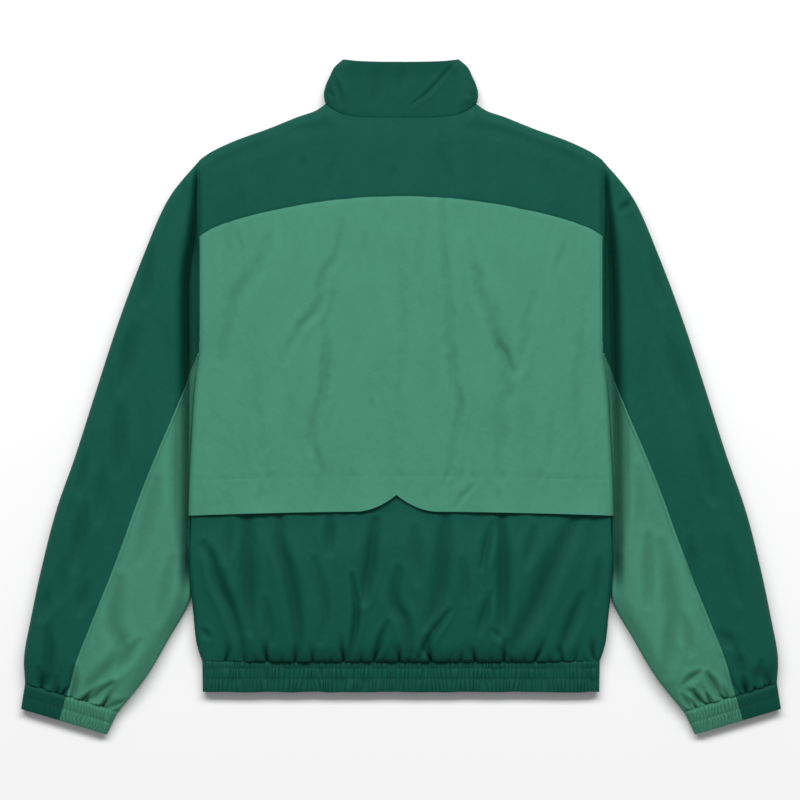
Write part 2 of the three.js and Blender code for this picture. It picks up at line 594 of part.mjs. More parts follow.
// The sleeve's upper and lower layer at a section, from the distances to its two folds
function sleeveZ(t, upper, fromOuter, fromInner, x, y, share, folds) {
  const low = along(SLEEVE, "t", "low", t);
  if (!upper) {
    const outer = (SLEEVE_OUTER_Z - CLOTH / 2) * (1 - roundUp(fromOuter / UNDER_ROUND));
    return CLOTH / 2 + outer + (low - CLOTH / 2) * (1 - roundUp(fromInner / SLEEVE_INNER_ROUND));
  }
  const crown = along(SLEEVE, "t", "crown", t);
  const ledge = along(SLEEVE, "t", "ledge", t);
  const slope = along(SLEEVE, "t", "slope", t);
  const outer = (crown - SLEEVE_OUTER_Z) * (1 - roundUp(fromOuter / SLEEVE_OUTER_ROUND));
  const inner = (crown - ledge) * (1 - easeUp(fromInner / slope));
  const innerFold = (ledge - low) * (1 - roundUp(fromInner / SLEEVE_INNER_ROUND));
  const z = crown - outer - inner - innerFold;
  const armhole = Math.min(backZ(ARMHOLE_X, mix(SHOULDER_Y, UNDERARM_Y, share)), BODY_EDGE_Z);
  const joined = mix(armhole, z, smooth(t / 0.1));
  const depth = foldDepth(folds, x, y) * roundUp(fromOuter / 14) * smooth(fromInner / 5) * smooth(t / 0.03);
  return sink(joined, depth, SLEEVE_FLOOR);
}

function sleevePoint(q, t, panel, side) {
  const row = (column) => along(SLEEVE, "t", column, t);
  const outer = [row("outX"), row("outY")];
  const inner = [row("inX"), row("inY")];
  const width = Math.hypot(inner[0] - outer[0], inner[1] - outer[1]);
  const dark = panel === "dark";
  const gap = mix(UNDERARM_SEAM, SEAM, smooth(t / 0.25));
  const own = (dark ? row("seam") : 1 - row("seam")) * width - gap / 2;
  const upRound = Math.min(dark ? SLEEVE_OUTER_ROUND : SLEEVE_INNER_ROUND, own * 0.8);
  const downRound = Math.min(dark ? UNDER_ROUND : SLEEVE_INNER_ROUND, own * 0.8);
  const inside = tubeInside(q, own, upRound, downRound);
  const fromOuter = dark ? inside : width - inside;
  const share = fromOuter / width;
  const x = mix(outer[0], inner[0], share);
  const y = mix(outer[1], inner[1], share);
  const folds = SLEEVE_FOLDS[side < 0 ? "left" : "right"];
  const z = sleeveZ(t, q >= 0, fromOuter, width - fromOuter, side * x, y, share, folds);
  return [side * x, y, z];
}

// Cuff: an elastic casing in the sleeve's two colours, rippled on its upper layer
function cuffPoint(q, drop, panel, side) {
  const corner = (name, axis) => mix(CUFF.top[name][axis], CUFF.end[name][axis], drop);
  const outer = [corner("outer", 0), corner("outer", 1)];
  const inner = [corner("inner", 0), corner("inner", 1)];
  const width = Math.hypot(inner[0] - outer[0], inner[1] - outer[1]);
  const dark = panel === "dark";
  const own = (dark ? CUFF.seam : 1 - CUFF.seam) * width - SEAM / 2;
  const inside = tubeInside(q, own, CUFF_ROUND, CUFF_ROUND);
  const share = (dark ? inside : width - inside) / width;
  const layer = q >= 0 ? CUFF_TOP_Z : CUFF_WALL / 2;
  const z = mix(CUFF_FOLD_Z, layer, roundUp(inside / CUFF_ROUND));
  return [side * mix(outer[0], inner[0], share), mix(outer[1], inner[1], share), z];
}
function cuffRelief(q, drop) {
  const wave = Math.cos(((q - TURN_SHARE) * CUFF_RIPPLES * Math.PI) / (1 - TURN_SHARE));
  const rippled = q > TURN_SHARE && q < 0.995;
  return rippled ? CUFF_RIPPLE * 0.5 * (1 - wave) * (1 - 0.6 * Math.abs(2 * drop - 1)) : 0;
}

const sleeveRows = [0, 0.015, 0.05, ...evenSteps(0.1, 0.9, 9), 0.95, 0.98, 1];
const cuffRows = evenSteps(0, 1, 3);
const tubeSteps = (plainDown, turnDown, turnUp, plainUp) => [
  ...evenSteps(-1, -TURN_SHARE, plainDown),
  ...evenSteps(-TURN_SHARE, 0, turnDown).slice(1),
  ...evenSteps(0, TURN_SHARE, turnUp).slice(1),
  ...evenSteps(TURN_SHARE, 1, plainUp).slice(1),
];
const sleeveSteps = { dark: tubeSteps(3, 2, 4, 8), light: tubeSteps(3, 2, 2, 7) };
const cuffSteps = { dark: tubeSteps(2, 2, 2, CUFF_RIPPLES), light: tubeSteps(2, 2, 2, CUFF_RIPPLES) };

for (const [sideName, side] of [["left", -1], ["right", 1]]) {
  for (const panel of ["dark", "light"]) {
    // The turn from u to v has to face outwards on both sleeves and both panels
    const mirrored = (side > 0) === (panel === "dark");
    const turned = (steps) => (mirrored ? steps.map((q) => -q).reverse() : steps);
    const sign = mirrored ? -1 : 1;
    const sleeve = (q, t) => sleevePoint(sign * q, t, panel, side);
    const cuff = (q, drop) => cuffPoint(sign * q, drop, panel, side);
    const ripple = (q, drop) => cuffRelief(sign * q, drop);
    const colour = COLOURS[panel];
    const arm = wallGeometry(sleeve, turned(sleeveSteps[panel]), sleeveRows, CLOTH);
    const casing = wallGeometry(cuff, turned(cuffSteps[panel]), cuffRows, CUFF_WALL, ripple);
    addPiece(`sleeve_${sideName}_${panel}`, arm, colour);
    addPiece(`cuff_${sideName}_${panel}`, casing, colour);
  }
}

// Zip: a tape behind the fronts with the chain between them, higher behind the thicker band and collar
function tapeBase(y) {
  const band = (BAND_WALL - CLOTH) * smooth((HEM_SEAM_Y + 14 - y) / 12);
  const collar = (COLLAR_WALL - CLOTH) * smooth((y - FRONT_NECK_Y + 14) / 12);
  return CLOTH + TAPE_GAP + band + collar;
}
const tapeProfile = [
  { x: -TAPE_HALF, part: "base" },
  { x: -CHAIN_HALF, part: "base" },
  { x: -CHAIN_HALF, part: "chain" },
  { x: CHAIN_HALF, part: "chain" },
  { x: CHAIN_HALF, part: "base" },
  { x: TAPE_HALF, part: "base" },
  { x: TAPE_HALF, part: "back" },
  { x: -TAPE_HALF, part: "back" },
];
const tapeBends = [-303, -297, -290, 0, 222, 232, 243, 253, 258, 263, 268, 276, 284];
const tapeRows = [TAPE_BOTTOM_Y, ...tapeBends, TAPE_TOP_Y];
const tapeFaces = THREE.ShapeUtils.triangulateShape(
  tapeProfile.map(({ x, part }) => new THREE.Vector2(x, { chain: 0, base: 1, back: 2 }[part])), [],
);
const tapePoints = tapeRows.flatMap((y) => tapeProfile.flatMap(({ x, part }) => {
  const base = tapeBase(y);
  return [x, y, { chain: CHAIN_BASE, base, back: base + TAPE }[part] + zipLift(0, y)];
}));
const tapeIndex = [];
tapeRows.forEach((_, row) => {
  const count = tapeProfile.length;
  const at = (k, onRow = row) => onRow * count + (k % count);
  if (row === 0) tapeFaces.forEach(([a, b, c]) => tapeIndex.push(at(a), at(b), at(c)));
  if (row === tapeRows.length - 1) {
    tapeFaces.forEach(([a, b, c]) => tapeIndex.push(at(a), at(c), at(b)));
    return;
  }
  for (let k = 0; k < count; k += 1) {
    tapeIndex.push(at(k), at(k, row + 1), at(k + 1, row + 1), at(k), at(k + 1, row + 1), at(k + 1));
  }
});
const tapeGeometry = new THREE.BufferGeometry();
tapeGeometry.setAttribute("position", new THREE.Float32BufferAttribute(tapePoints, 3));
tapeGeometry.setIndex(tapeIndex);
tapeGeometry.computeVertexNormals();
addPiece("zip", tapeGeometry, COLOURS.tape);

// Turns a closed three.js geometry into a solid that can be joined with others
function solidOf(geometry) {
  geometry.deleteAttribute("normal");
  geometry.deleteAttribute("uv");
  const merged = mergeVertices(geometry);
  const vertProperties = merged.getAttribute("position").array;
  const triVerts = Uint32Array.from(merged.getIndex().array);
  return new Manifold(new Mesh({ numProp: 3, vertProperties, triVerts }));
}

// Turns a solid into a three.js geometry
function solidGeometry(solid) {
  const { vertProperties, triVerts } = solid.getMesh();
  const geometry = new THREE.BufferGeometry();
  geometry.setAttribute("position", new THREE.Float32BufferAttribute(vertProperties, 3));
  geometry.setIndex(new THREE.Uint32BufferAttribute(triVerts, 1));
  geometry.computeVertexNormals();
  return geometry;
}

// A block between two corners
function block(from, to) {
  const box = new THREE.BoxGeometry(...to.map((value, axis) => value - from[axis]));
  box.translate(...to.map((value, axis) => (value + from[axis]) / 2));
  return solidOf(box);
}

// Slider: a plate over the chain with a flange to each side of it, and a bail that holds the pull tab
const plateTop = SLIDER.base + SLIDER.plate;
const half = SLIDER.length / 2;
const bailTop = SLIDER.base + SLIDER.plate / 2;
const bailOut = BAIL.inner + BAIL.leg;
const flangeIn = SLIDER.half - SLIDER.flange;
const slider = Manifold.union([
  block([-SLIDER.half, HINGE_Y - half, SLIDER.base], [SLIDER.half, HINGE_Y + half, plateTop]),
  block([-SLIDER.half, HINGE_Y - half, SLIDER.base], [-flangeIn, HINGE_Y + half, SLIDER.flangeTop]),
  block([flangeIn, HINGE_Y - half, SLIDER.base], [SLIDER.half, HINGE_Y + half, SLIDER.flangeTop]),
  block([-BAIL.half, HINGE_Y - bailOut, BAIL.low], [BAIL.half, HINGE_Y - BAIL.inner, bailTop]),
  block([-BAIL.half, HINGE_Y + BAIL.inner, BAIL.low], [BAIL.half, HINGE_Y + bailOut, bailTop]),
  block([-BAIL.half, HINGE_Y - bailOut, BAIL.low], [BAIL.half, HINGE_Y + bailOut, BAIL.low + BAIL.bridge]),
]);
const metal = { roughness: 0.35, metalness: 1 };
addPiece("zip_slider", solidGeometry(slider), COLOURS.metal, metal);

// Pull tab: a flat tongue with a slot, whose end bar turns inside the bail
const tongue = new THREE.Shape([
  new THREE.Vector2(-PULL.half, PULL.bar),
  new THREE.Vector2(-PULL.half, -PULL.taper),
  new THREE.Vector2(-PULL.endHalf, -PULL.end),
  new THREE.Vector2(PULL.endHalf, -PULL.end),
  new THREE.Vector2(PULL.half, -PULL.taper),
  new THREE.Vector2(PULL.half, PULL.bar),
]);
tongue.holes.push(new THREE.Path([
  new THREE.Vector2(-PULL.slotHalf, -PULL.bar),
  new THREE.Vector2(PULL.slotHalf, -PULL.bar),
  new THREE.Vector2(PULL.slotHalf, -PULL.slotEnd),
  new THREE.Vector2(-PULL.slotHalf, -PULL.slotEnd),
]));
const pull = new THREE.ExtrudeGeometry(tongue, { depth: PULL.thick, bevelEnabled: false });
pull.translate(0, HINGE_Y, HINGE_Z - PULL.thick / 2);
addPiece("zip_pull", pull, COLOURS.metal, metal);

jacket.position.y = CENTRE_Y;

export default jacket;
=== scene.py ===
"""A track jacket of thin woven nylon laid flat on its front, its back upwards, in the frame of its solids.
Every cloth piece is one thin shell round a computed mid surface. Sizes are in millimetres until a mesh is made."""
import math
import bpy
import numpy as np
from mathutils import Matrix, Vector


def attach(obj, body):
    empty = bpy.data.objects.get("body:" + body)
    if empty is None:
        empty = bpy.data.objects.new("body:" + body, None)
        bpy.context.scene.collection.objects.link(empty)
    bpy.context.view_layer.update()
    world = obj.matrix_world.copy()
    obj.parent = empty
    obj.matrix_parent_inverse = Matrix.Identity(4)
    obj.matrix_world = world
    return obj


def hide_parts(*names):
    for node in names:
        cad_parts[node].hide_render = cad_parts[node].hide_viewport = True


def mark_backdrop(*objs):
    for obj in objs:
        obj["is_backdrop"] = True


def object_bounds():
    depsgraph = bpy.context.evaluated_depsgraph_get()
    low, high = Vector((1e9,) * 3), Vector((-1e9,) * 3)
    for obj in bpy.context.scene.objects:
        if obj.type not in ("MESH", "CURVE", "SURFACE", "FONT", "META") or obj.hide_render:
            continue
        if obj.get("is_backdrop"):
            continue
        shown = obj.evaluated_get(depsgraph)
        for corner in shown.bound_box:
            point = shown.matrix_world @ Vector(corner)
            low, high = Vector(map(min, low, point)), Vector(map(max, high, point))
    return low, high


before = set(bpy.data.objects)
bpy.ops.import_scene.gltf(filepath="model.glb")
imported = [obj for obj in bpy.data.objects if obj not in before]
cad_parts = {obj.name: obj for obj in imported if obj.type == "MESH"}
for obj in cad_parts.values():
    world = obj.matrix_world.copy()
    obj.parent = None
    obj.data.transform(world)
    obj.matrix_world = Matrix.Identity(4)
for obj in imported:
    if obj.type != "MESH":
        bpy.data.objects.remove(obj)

start_box = [list(corner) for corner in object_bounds()]

MM = 0.001
CENTRE_Y = 0.15
SEED = 7

# Walls, seams and body sizes
CLOTH = 1.6
SEAM_GAP = 0.12
COLLAR_WALL = 2.6
BAND_WALL = 3.0
CUFF_WALL = 2.6
UNDER = 2.8
ARMHOLE_X = 231
UNDERARM_Y = 46
UNDERARM_BLEND = 18
SHOULDER_Y = 271
HEM_SEAM_Y = -304
HEM_Y = -338.8
CAPE_STITCH_Y = -92
CAPE_SLIP = -5
NECK_HALF = 86
NECK_POINT_Y = 336
BACK_NECK_Y = 320
FRONT_NECK_Y = 268
ZIP_GAP = 5.4

# Heights of the middle of the cloth
SIDE_SEAM_Z = 7
SHOULDER_Z = 6.5
BODY_EDGE_Z = 13
BODY_ROUND = 6
BODY_SLOPE = 120
SHOULDER_ROUND = 12
NECK_Z = 16.5
NECK_ROUND = 14
BAND_TOP_Z = 11.5
BAND_END_Z = 10.2
BAND_FOLD_Z = 6.5
BLOUSE = 24
COLLAR_FOLD_Z = 7
COLLAR_LEAN = -1.6
COLLAR_TOP_Y = 384.2
FRONT_COLLAR_TOP_Y = 334
CUFF_TOP_Z = 12.6
CUFF_END_Z = 8.6
CUFF_FOLD_Z = 6.2
CUFF_ROUND = 5
ZIP_LIFT = 4.2
SLEEVE_OUTER_Z = 7
SLEEVE_OUTER_ROUND = 12
SLEEVE_INNER_ROUND = 2.4
RING_TURN = 0.8
TURN_SHARE = 0.3
SLEEVE_STEEPNESS = 0.62

# How deep each part's creases are against their tables, and how much painted shade darkens colour per mm of depth
CAPE_RELIEF = 1.1
LOWER_RELIEF = 1.9
SLEEVE_RELIEF = 2.0
FOLD_SHADE = 0.075

# Painted shade: how much each part's colour is darkened evenly where it has no creases;
# on the collar and the light sleeve panels it stands in for the shade they lie in
YOKE_SHADE = 0.05
COLLAR_SHADE = 0.16
LIGHT_SLEEVE_SHADE = 0.1

# Shirring: half the spacing of the ribs, and on cuffs the ribs' height, the painted shade and the further painted shade
# between ribs
BAND_RIB = 4.8
CUFF_RIB = 3.9
CUFF_SHIRRING = {"dark": (0.35, 0.2, 0.16), "light": (0.95, 0.14, 0.4)}
SLEEVE_PUCKERS = 11
CAPE_FREE_REACH = 36


def table(names, *rows):
    """Columns of a short table, by name."""
    return dict(zip(names.split(), np.array(rows, float).T))


SIDES = table(
    "y half",
    (HEM_SEAM_Y, 227), (-297, 230), (-280, 234.6), (-247, 238), (-209, 242), (-168, 243.8), (-100, 242.6),
    (-50, 240), (-4, 237.5), (23, 235), (UNDERARM_Y, 232), (66, ARMHOLE_X), (SHOULDER_Y, ARMHOLE_X),
)
SHOULDER = table(
    "x y", (NECK_HALF, NECK_POINT_Y), (93, 331), (100, 327), (118, 321), (153, 307), (189, 294),
    (218, 280.5), (ARMHOLE_X, SHOULDER_Y),
)
CROWN = table(
    "y z", (HEM_SEAM_Y, 24), (-260, 26), (-136, 25), (0, 24), (190, 22), (270, 20), (NECK_POINT_Y, 17.5),
)
COLLAR_FOLD = table(
    "rise x y", (0, 86, 338), (0.2, 87.4, 347.5), (0.4, 85, 358), (0.6, 80.5, 368), (0.8, 75.5, 378), (1, 66, 386.5),
)
SLEEVE = table(
    "t out_x out_y in_x in_y seam crown low ledge slope",
    (0, 231.2, 271, 232.6, 46, 0.975, 14, 7, 12, 14),
    (0.1, 267, 226, 238.4, 6, 0.89, 16, 2.8, 5, 34),
    (0.2, 296, 160, 241, -36, 0.8, 18, 2.8, 5, 42),
    (0.3, 324, 85, 243, -77, 0.72, 19, 2.8, 5, 46),
    (0.4, 351, 2, 244.6, -119, 0.63, 20, 2.8, 5, 48),
    (0.5, 373, -67, 245.2, -159, 0.56, 20, 2.8, 5, 46),
    (0.6, 395, -130, 244.4, -197, 0.512, 20, 3, 6, 42),
    (0.7, 412, -196, 243.6, -234, 0.45, 20, 4, 9, 36),
    (0.8, 424, -253, 267, -277, 0.43, 20, 5, 11, 32),
    (0.9, 432, -297, 293, -321, 0.42, 19, 6, 13, 26),
    (1, 431, -329, 325, -361, 0.45, 13, 6, 12, 16),
)
CUFF_OUTER = ((430.8, -329.8), (435.3, -358.6))
CUFF_INNER = ((326.3, -361.6), (338.8, -387.2))
CUFF_SEAM = 0.442

# Creases: (depth, half width, points along it). Uneven in length, depth and spacing.
CAPE_CREASES = [
    (1.2, 4.5, (-197, 198), (-204, 137)),
    (0.8, 4, (-187, 190), (-185, 163)),
    (1.8, 7, (-153, 180), (-160, 155), (-179, 129), (-190, 111), (-202, 71), (-208, 42)),
    (1.7, 5, (-66, 201), (-73, 163), (-88, 139), (-98, 100), (-113, 80), (-127, 57), (-133, 40)),
    (2.0, 5.5, (-78, 117), (-86, 77), (-87, 8), (-102, -38), (-93, -84), (-95, -124)),
    (0.8, 4, (-16, 215), (-18, 192)),
    (0.8, 4, (-40, 186), (-40, 157)),
    (0.7, 4, (-36, -4), (-33, -21)),
    (2.0, 5, (48, 223), (48, 186), (54, 111), (59, 31), (67, -21), (64, -38), (54, -90)),
    (1.6, 5, (80, 177), (87, 134), (95, 94), (114, 54), (131, 25)),
    (1.3, 5, (154, 117), (144, 71), (135, 29)),
    (2.2, 8, (85, 146), (120, 37), (114, -27), (112, -90)),
    (1.0, 4.5, (186, 175), (184, 146)),
    (0.9, 3, (52, -84), (51, -103)),
    (0.9, 3, (60, -83), (62, -104)),
    (0.8, 3, (70, -85), (68, -101)),
    (0.8, 3, (82, -86), (85, -100)),
    (0.7, 3, (114, -86), (115, -103)),
    (0.7, 3, (160, -84), (158, -99)),
    (0.7, 3, (202, -89), (205, -105)),
    (0.7, 3, (-204, -89), (-201, -104)),
    (0.6, 3, (-151, -88), (-153, -100)),
    (0.6, 3, (-59, -84), (-56, -98)),
    (0.6, 3, (1, -83), (0, -96)),
    (1.3, 3, (84, -101), (62, -127)),
    (0.8, 3, (112, -107), (113, -130)),
    (0.6, 3, (28, -107), (28, -120)),
    (0.7, 4, (-160, -107), (-164, -129)),
    (1.0, 6, (-1, 180), (3, 77), (-3, -27)),
    (0.9, 5.5, (212, 111), (204, 19), (208, -61)),
    (0.8, 5.5, (-168, 19), (-160, -50), (-164, -78)),
    (0.9, 5, (166, -4), (174, -50), (169, -80)),
    (0.7, 4.5, (28, 209), (22, 146), (26, 77)),
    (0.7, 4.5, (-128, -4), (-132, -61)),
]
YOKE_CREASES = [
    (1.2, 9, (-82, 310), (-128, 307), (-174, 287), (-212, 269)),
    (0.7, 5, (-113, 275), (-113, 259)),
    (0.8, 5, (-75, 275), (-85, 238)),
    (0.6, 5, (-9, 263), (-9, 247)),
    (0.6, 5, (-182, 238), (-183, 217)),
    (0.9, 8, (79, 309), (125, 303), (171, 286), (206, 269)),
    (0.6, 6, (45, 284), (59, 240)),
    (0.6, 6, (166, 267), (169, 232)),
    (0.6, 5, (112, 284), (107, 249)),
    (0.5, 6, (-151, 255), (-153, 217)),
]
LOWER_CREASES = [
    (3.2, 6, (-228, -170), (-217, -188), (-208, -216), (-194, -245), (-184, -280), (-182, -297)),
    (3.0, 9, (-179, -139), (-175, -234), (-176, -266)),
    (3.2, 7, (-141, -139), (-139, -170), (-128, -205), (-118, -268), (-120, -297)),
    (2.2, 6, (-82, -139), (-82, -178)),
    (3.2, 7, (-30, -144), (-36, -193), (-43, -234)),
    (3.0, 4, (-56, -205), (-51, -251), (-59, -297)),
    (2.6, 6, (-3, -199), (-7, -234), (5, -259), (10, -291)),
    (2.0, 4, (-15, -259), (-31, -296)),
    (1.6, 4, (-231, -266), (-221, -276)),
    (3.0, 9, (52, -142), (45, -216), (33, -262)),
    (2.4, 5, (105, -147), (93, -196)),
    (3.6, 7, (117, -137), (117, -234), (116, -268)),
    (3.0, 10, (200, -144), (171, -199), (148, -251), (129, -285)),
    (2.4, 6, (208, -228), (192, -268), (183, -291)),
    (2.6, 4, (56, -245), (34, -274), (21, -298)),
    (2.0, 5, (102, -228), (89, -270)),
    (1.4, 4, (105, -268), (117, -280)),
    (1.6, 6, (-99, -188), (-87, -245), (-91, -280)),
    (1.5, 6, (-156, -234), (-148, -280)),
    (1.5, 7, (16, -153), (20, -211)),
    (1.6, 6, (154, -153), (145, -193)),
    (1.4, 6, (229, -188), (224, -234)),
    (1.5, 6, (-199, -147), (-201, -188)),
    (1.4, 5, (70, -188), (75, -234)),
]
SEAM_NIPS = [
    -202, -182, -167, -153, -136, -120, -101, -82, -67, -59, -45, -30, -18, -3, 7, 21, 36, 56, 69, 85, 102, 117,
    128, 143, 154, 171, 184, 198, 212, 225,
]
SLEEVE_CREASES = {
    -1: [
        (2.4, 7, (-253, -12), (-255, -60), (-252, -170)),
        (1.6, 8, (-321, -17), (-325, -86)),
        (1.6, 6, (-363, -70), (-371, -109)),
        (1.8, 7, (-362, -128), (-375, -195)),
        (1.4, 6, (-360, -216), (-369, -247)),
        (1.6, 7, (-404, -222), (-413, -252)),
        (2.4, 6, (-404, -266), (-404, -303), (-406, -328)),
        (1.4, 4, (-415, -312), (-413, -335)),
        (1.2, 4, (-396, -323), (-398, -349)),
        (2.0, 8, (-322, -211), (-328, -262), (-321, -282), (-323, -299), (-356, -331)),
        (2.2, 4, (-332, -329), (-352, -343), (-369, -349)),
        (1.6, 5, (-375, -312), (-376, -344)),
        (1.6, 4, (-319, -349), (-342, -356)),
        (1.6, 7, (-289, 169), (-293, 111)),
        (1.4, 8, (-306, 77), (-321, 14)),
        (1.2, 7, (-279, -96), (-300, -188)),
        (1.2, 6, (-263, -188), (-277, -257)),
        (1.3, 5, (-300, -280), (-325, -316)),
        (1.2, 6, (-340, -84), (-348, -142)),
        (1.0, 6, (-383, -188), (-392, -234)),
    ],
    1: [
        (2.4, 7, (253, -12), (255, -60), (252, -170)),
        (1.8, 7, (285, -162), (284, -236)),
        (2.0, 8, (298, -170), (312, -245), (309, -280), (304, -316)),
        (1.4, 6, (324, -254), (332, -293)),
        (2.4, 4, (351, -318), (367, -344)),
        (1.8, 4, (325, -329), (342, -316)),
        (1.6, 3, (323, -342), (332, -356)),
        (1.6, 3, (336, -337), (346, -356)),
        (1.5, 3, (351, -342), (358, -360)),
        (1.4, 7, (367, -272), (384, -288)),
        (1.6, 5, (384, -291), (392, -322)),
        (1.4, 4, (392, -323), (396, -339)),
        (1.4, 5, (413, -306), (407, -334)),
        (1.4, 4, (404, -336), (424, -335)),
        (1.5, 4, (251, 213), (266, 224)),
        (1.5, 7, (289, 180), (298, 111)),
        (1.4, 8, (307, 65), (325, -4)),
        (1.3, 7, (344, -50), (358, -119)),
        (1.3, 7, (374, -165), (388, -234)),
        (1.1, 7, (270, -84), (275, -142)),
        (1.3, 6, (332, -165), (337, -222)),
    ],
}
# The deep tuck beside each armhole and the body: the line its floor follows, its section and the painted shade across
# it
TUCK_LINE = {
    -1: table(
        "y x", (-225, 246), (-120, 246.5), (-40, 246.5), (20, 246.5), (60, 246.5), (130, 246.5), (152, 244.5),
        (176, 240.5), (200, 238), (235, 236), (268, 234),
    ),
    1: table(
        "y x", (-225, 246), (-120, 246.5), (-40, 246), (10, 244), (50, 243), (110, 242), (158, 240), (190, 238),
        (235, 235.5), (268, 233),
    ),
}
TUCK_SECTION = {
    -1: table(
        "away z shade", (-18, 10.6, 0.38), (-10, 8.2, 0.48), (-4.4, 6, 0.62), (-2, 2.8, 0.85), (0.6, 2.4, 0.85),
        (3, 6.6, 0.65), (7.5, 15.6, 0.28), (14, 19, 0),
    ),
    1: table(
        "away z shade", (-16, 11, 0.36), (-9, 8.8, 0.42), (-3.6, 5, 0.5), (-0.4, 2.6, 0.74), (2.2, 2.4, 0.82),
        (5.2, 7.2, 0.68), (9.8, 15.8, 0.32), (16, 19, 0),
    ),
}
TUCK_ENDS = (-235, -190, 240, 274)
CAPE_LIFTS = [(-162, 26, 3.2), (-96, 16, 1.2), (-30, 20, 2.2), (42, 18, 1.0), (113, 18, 2.4), (212, 24, 3.4)]
COLLAR_CREASES = [
    (1.3, 2.6, (60, 382), (42, 361), (26, 345), (12, 335)),
    (1.6, 3, (-75, 364), (-70, 349), (-68, 336)),
    (1.1, 3, (-84, 352), (-77, 344)),
    (1.0, 3, (78, 350), (84, 342)),
    (1.0, 7, (-79, 364), (-80, 337)),
    (1.0, 4, (87, 337), (76, 334), (70, 324)),
    (0.7, 7, (-24, 378), (-33, 337)),
    (0.6, 6, (5, 380), (-3, 353)),
]
FRONT_CREASES = [
    (0.9, 9, (-170, 150), (-150, 60), (-160, -40)),
    (0.8, 8, (-90, 220), (-70, 120)),
    (0.9, 9, (120, 180), (140, 70), (128, -60)),
    (0.8, 8, (60, 20), (70, -90)),
    (1.0, 8, (180, -120), (160, -230), (165, -290)),
    (1.0, 8, (-110, -130), (-120, -240), (-112, -290)),
    (0.8, 6, (40, -200), (46, -285)),
    (0.8, 6, (-44, -210), (-36, -288)),
    (0.7, 6, (200, -210), (196, -285)),
    (0.7, 6, (-196, -190), (-204, -280)),
]


def mix(a, b, share):
    return a + (b - a) * share


def smooth(value):
    """A soft step from 0 to 1."""
    share = np.clip(value, 0, 1)
    return share * share * (3 - 2 * share)


def round_up(share):
    """A quarter of an ellipse: 0 with an upright start, 1 at the end."""
    rest = 1 - np.clip(share, 0, 1)
    return np.sqrt(np.maximum(1 - rest * rest, 0))


def ease_up(share):
    """A slope with a gentle foot and a flat top."""
    rest = 1 - np.clip(share, 0, 1)
    return (1 - rest * rest) ** 1.5


def along(rows, key, column, at):
    """A table's column at a key, on a smooth cubic through its rows."""
    keys, values = rows[key], rows[column]
    slopes = np.empty_like(values)
    slopes[1:-1] = (values[2:] - values[:-2]) / (keys[2:] - keys[:-2])
    slopes[0] = (values[1] - values[0]) / (keys[1] - keys[0])
    slopes[-1] = (values[-1] - values[-2]) / (keys[-1] - keys[-2])
    at = np.clip(at, keys[0], keys[-1])
    i = np.clip(np.searchsorted(keys, at, side="right") - 1, 0, len(keys) - 2)
    step = keys[i + 1] - keys[i]
    s = (at - keys[i]) / step
    hold = (1 + 2 * s) * (1 - s) ** 2 * values[i] + s * s * (3 - 2 * s) * values[i + 1]
    return hold + step * (s * (1 - s) ** 2 * slopes[i] - s * s * (1 - s) * slopes[i + 1])


def curve_points(path, steps=6):
    """Points of a smooth curve through a crease's own points."""
    if len(path) == 2:
        return np.array(path, float)
    rows = {"k": np.arange(len(path), dtype=float), "x": np.array(path, float)[:, 0], "y": np.array(path, float)[:, 1]}
    at = np.linspace(0, len(path) - 1, (len(path) - 1) * steps + 1)
    return np.stack([along(rows, "k", "x", at), along(rows, "k", "y", at)], 1)


def crease_depth(creases, x, y):
    """Sum of soft troughs: each is a bell across its curve with a low ridge beside it, and fades at both ends."""
    depth = np.zeros_like(x)
    for size, width, *path in creases:
        points = curve_points(path)
        low, high = points.min(0) - 4 * width, points.max(0) + 4 * width
        near = (x > low[0]) & (x < high[0]) & (y > low[1]) & (y < high[1])
        if not near.any():
            continue
        px, py = x[near], y[near]
        best = np.full(px.shape, 1e9)
        place = np.zeros_like(best)
        lengths = np.hypot(*(points[1:] - points[:-1]).T)
        run = np.concatenate([[0], np.cumsum(lengths)]) / lengths.sum()
        for k, length in enumerate(lengths):
            (ax, ay), (bx, by) = points[k], points[k + 1]
            share = np.clip(((px - ax) * (bx - ax) + (py - ay) * (by - ay)) / length**2, 0, 1)
            away = np.hypot(px - mix(ax, bx, share), py - mix(ay, by, share))
            closer = away < best
            best = np.where(closer, away, best)
            place = np.where(closer, mix(run[k], run[k + 1], share), place)
        swell = np.sin(math.pi * (0.06 + 0.88 * place))
        spread = width * (0.6 + 0.4 * swell)
        bell = np.exp(-((best / spread) ** 2))
        lip = np.exp(-(((best - 2.1 * spread) / (0.9 * spread)) ** 2))
        depth[near] += size * (0.25 + 0.75 * swell) * (bell - 0.28 * lip)
    return depth


def noise(x, y, size_x, size_y, seed):
    """Smooth seeded noise from -1 to 1 on a lattice of the given cell size."""
    lattice = np.random.default_rng(SEED + seed).uniform(-1, 1, (97, 97))
    u, v = x / size_x + 1000.37, y / size_y + 1000.71
    i, j = np.floor(u).astype(int), np.floor(v).astype(int)
    s, t = u - i, v - j
    s, t = s * s * (3 - 2 * s), t * t * (3 - 2 * t)
    at = lambda a, b: lattice[(i + a) % 97, (j + b) % 97]
    return mix(mix(at(0, 0), at(1, 0), s), mix(at(0, 1), at(1, 1), s), t)


def crinkle(x, y, seed, amount=1.0, finer=0.16):
    """The slight unevenness of thin nylon: long ripples down the cloth with shorter ones on them."""
    warp = 14 * noise(x, y, 60, 90, seed + 9)
    wide = 0.5 * noise(x + warp, y, 17, 80, seed)
    fine = finer * noise(x + warp, y, 6.5, 28, seed + 1)
    return amount * (wide + fine)


def armhole_dip(inside, y):
    """The body's edge turns down to the armhole seam, less near the shoulder fold."""
    depth = 2.4 * (1 - below_underarm(y)) * smooth((SHOULDER_Y - y) / 40)
    return seam_dip(inside, 1, 2.6) * depth


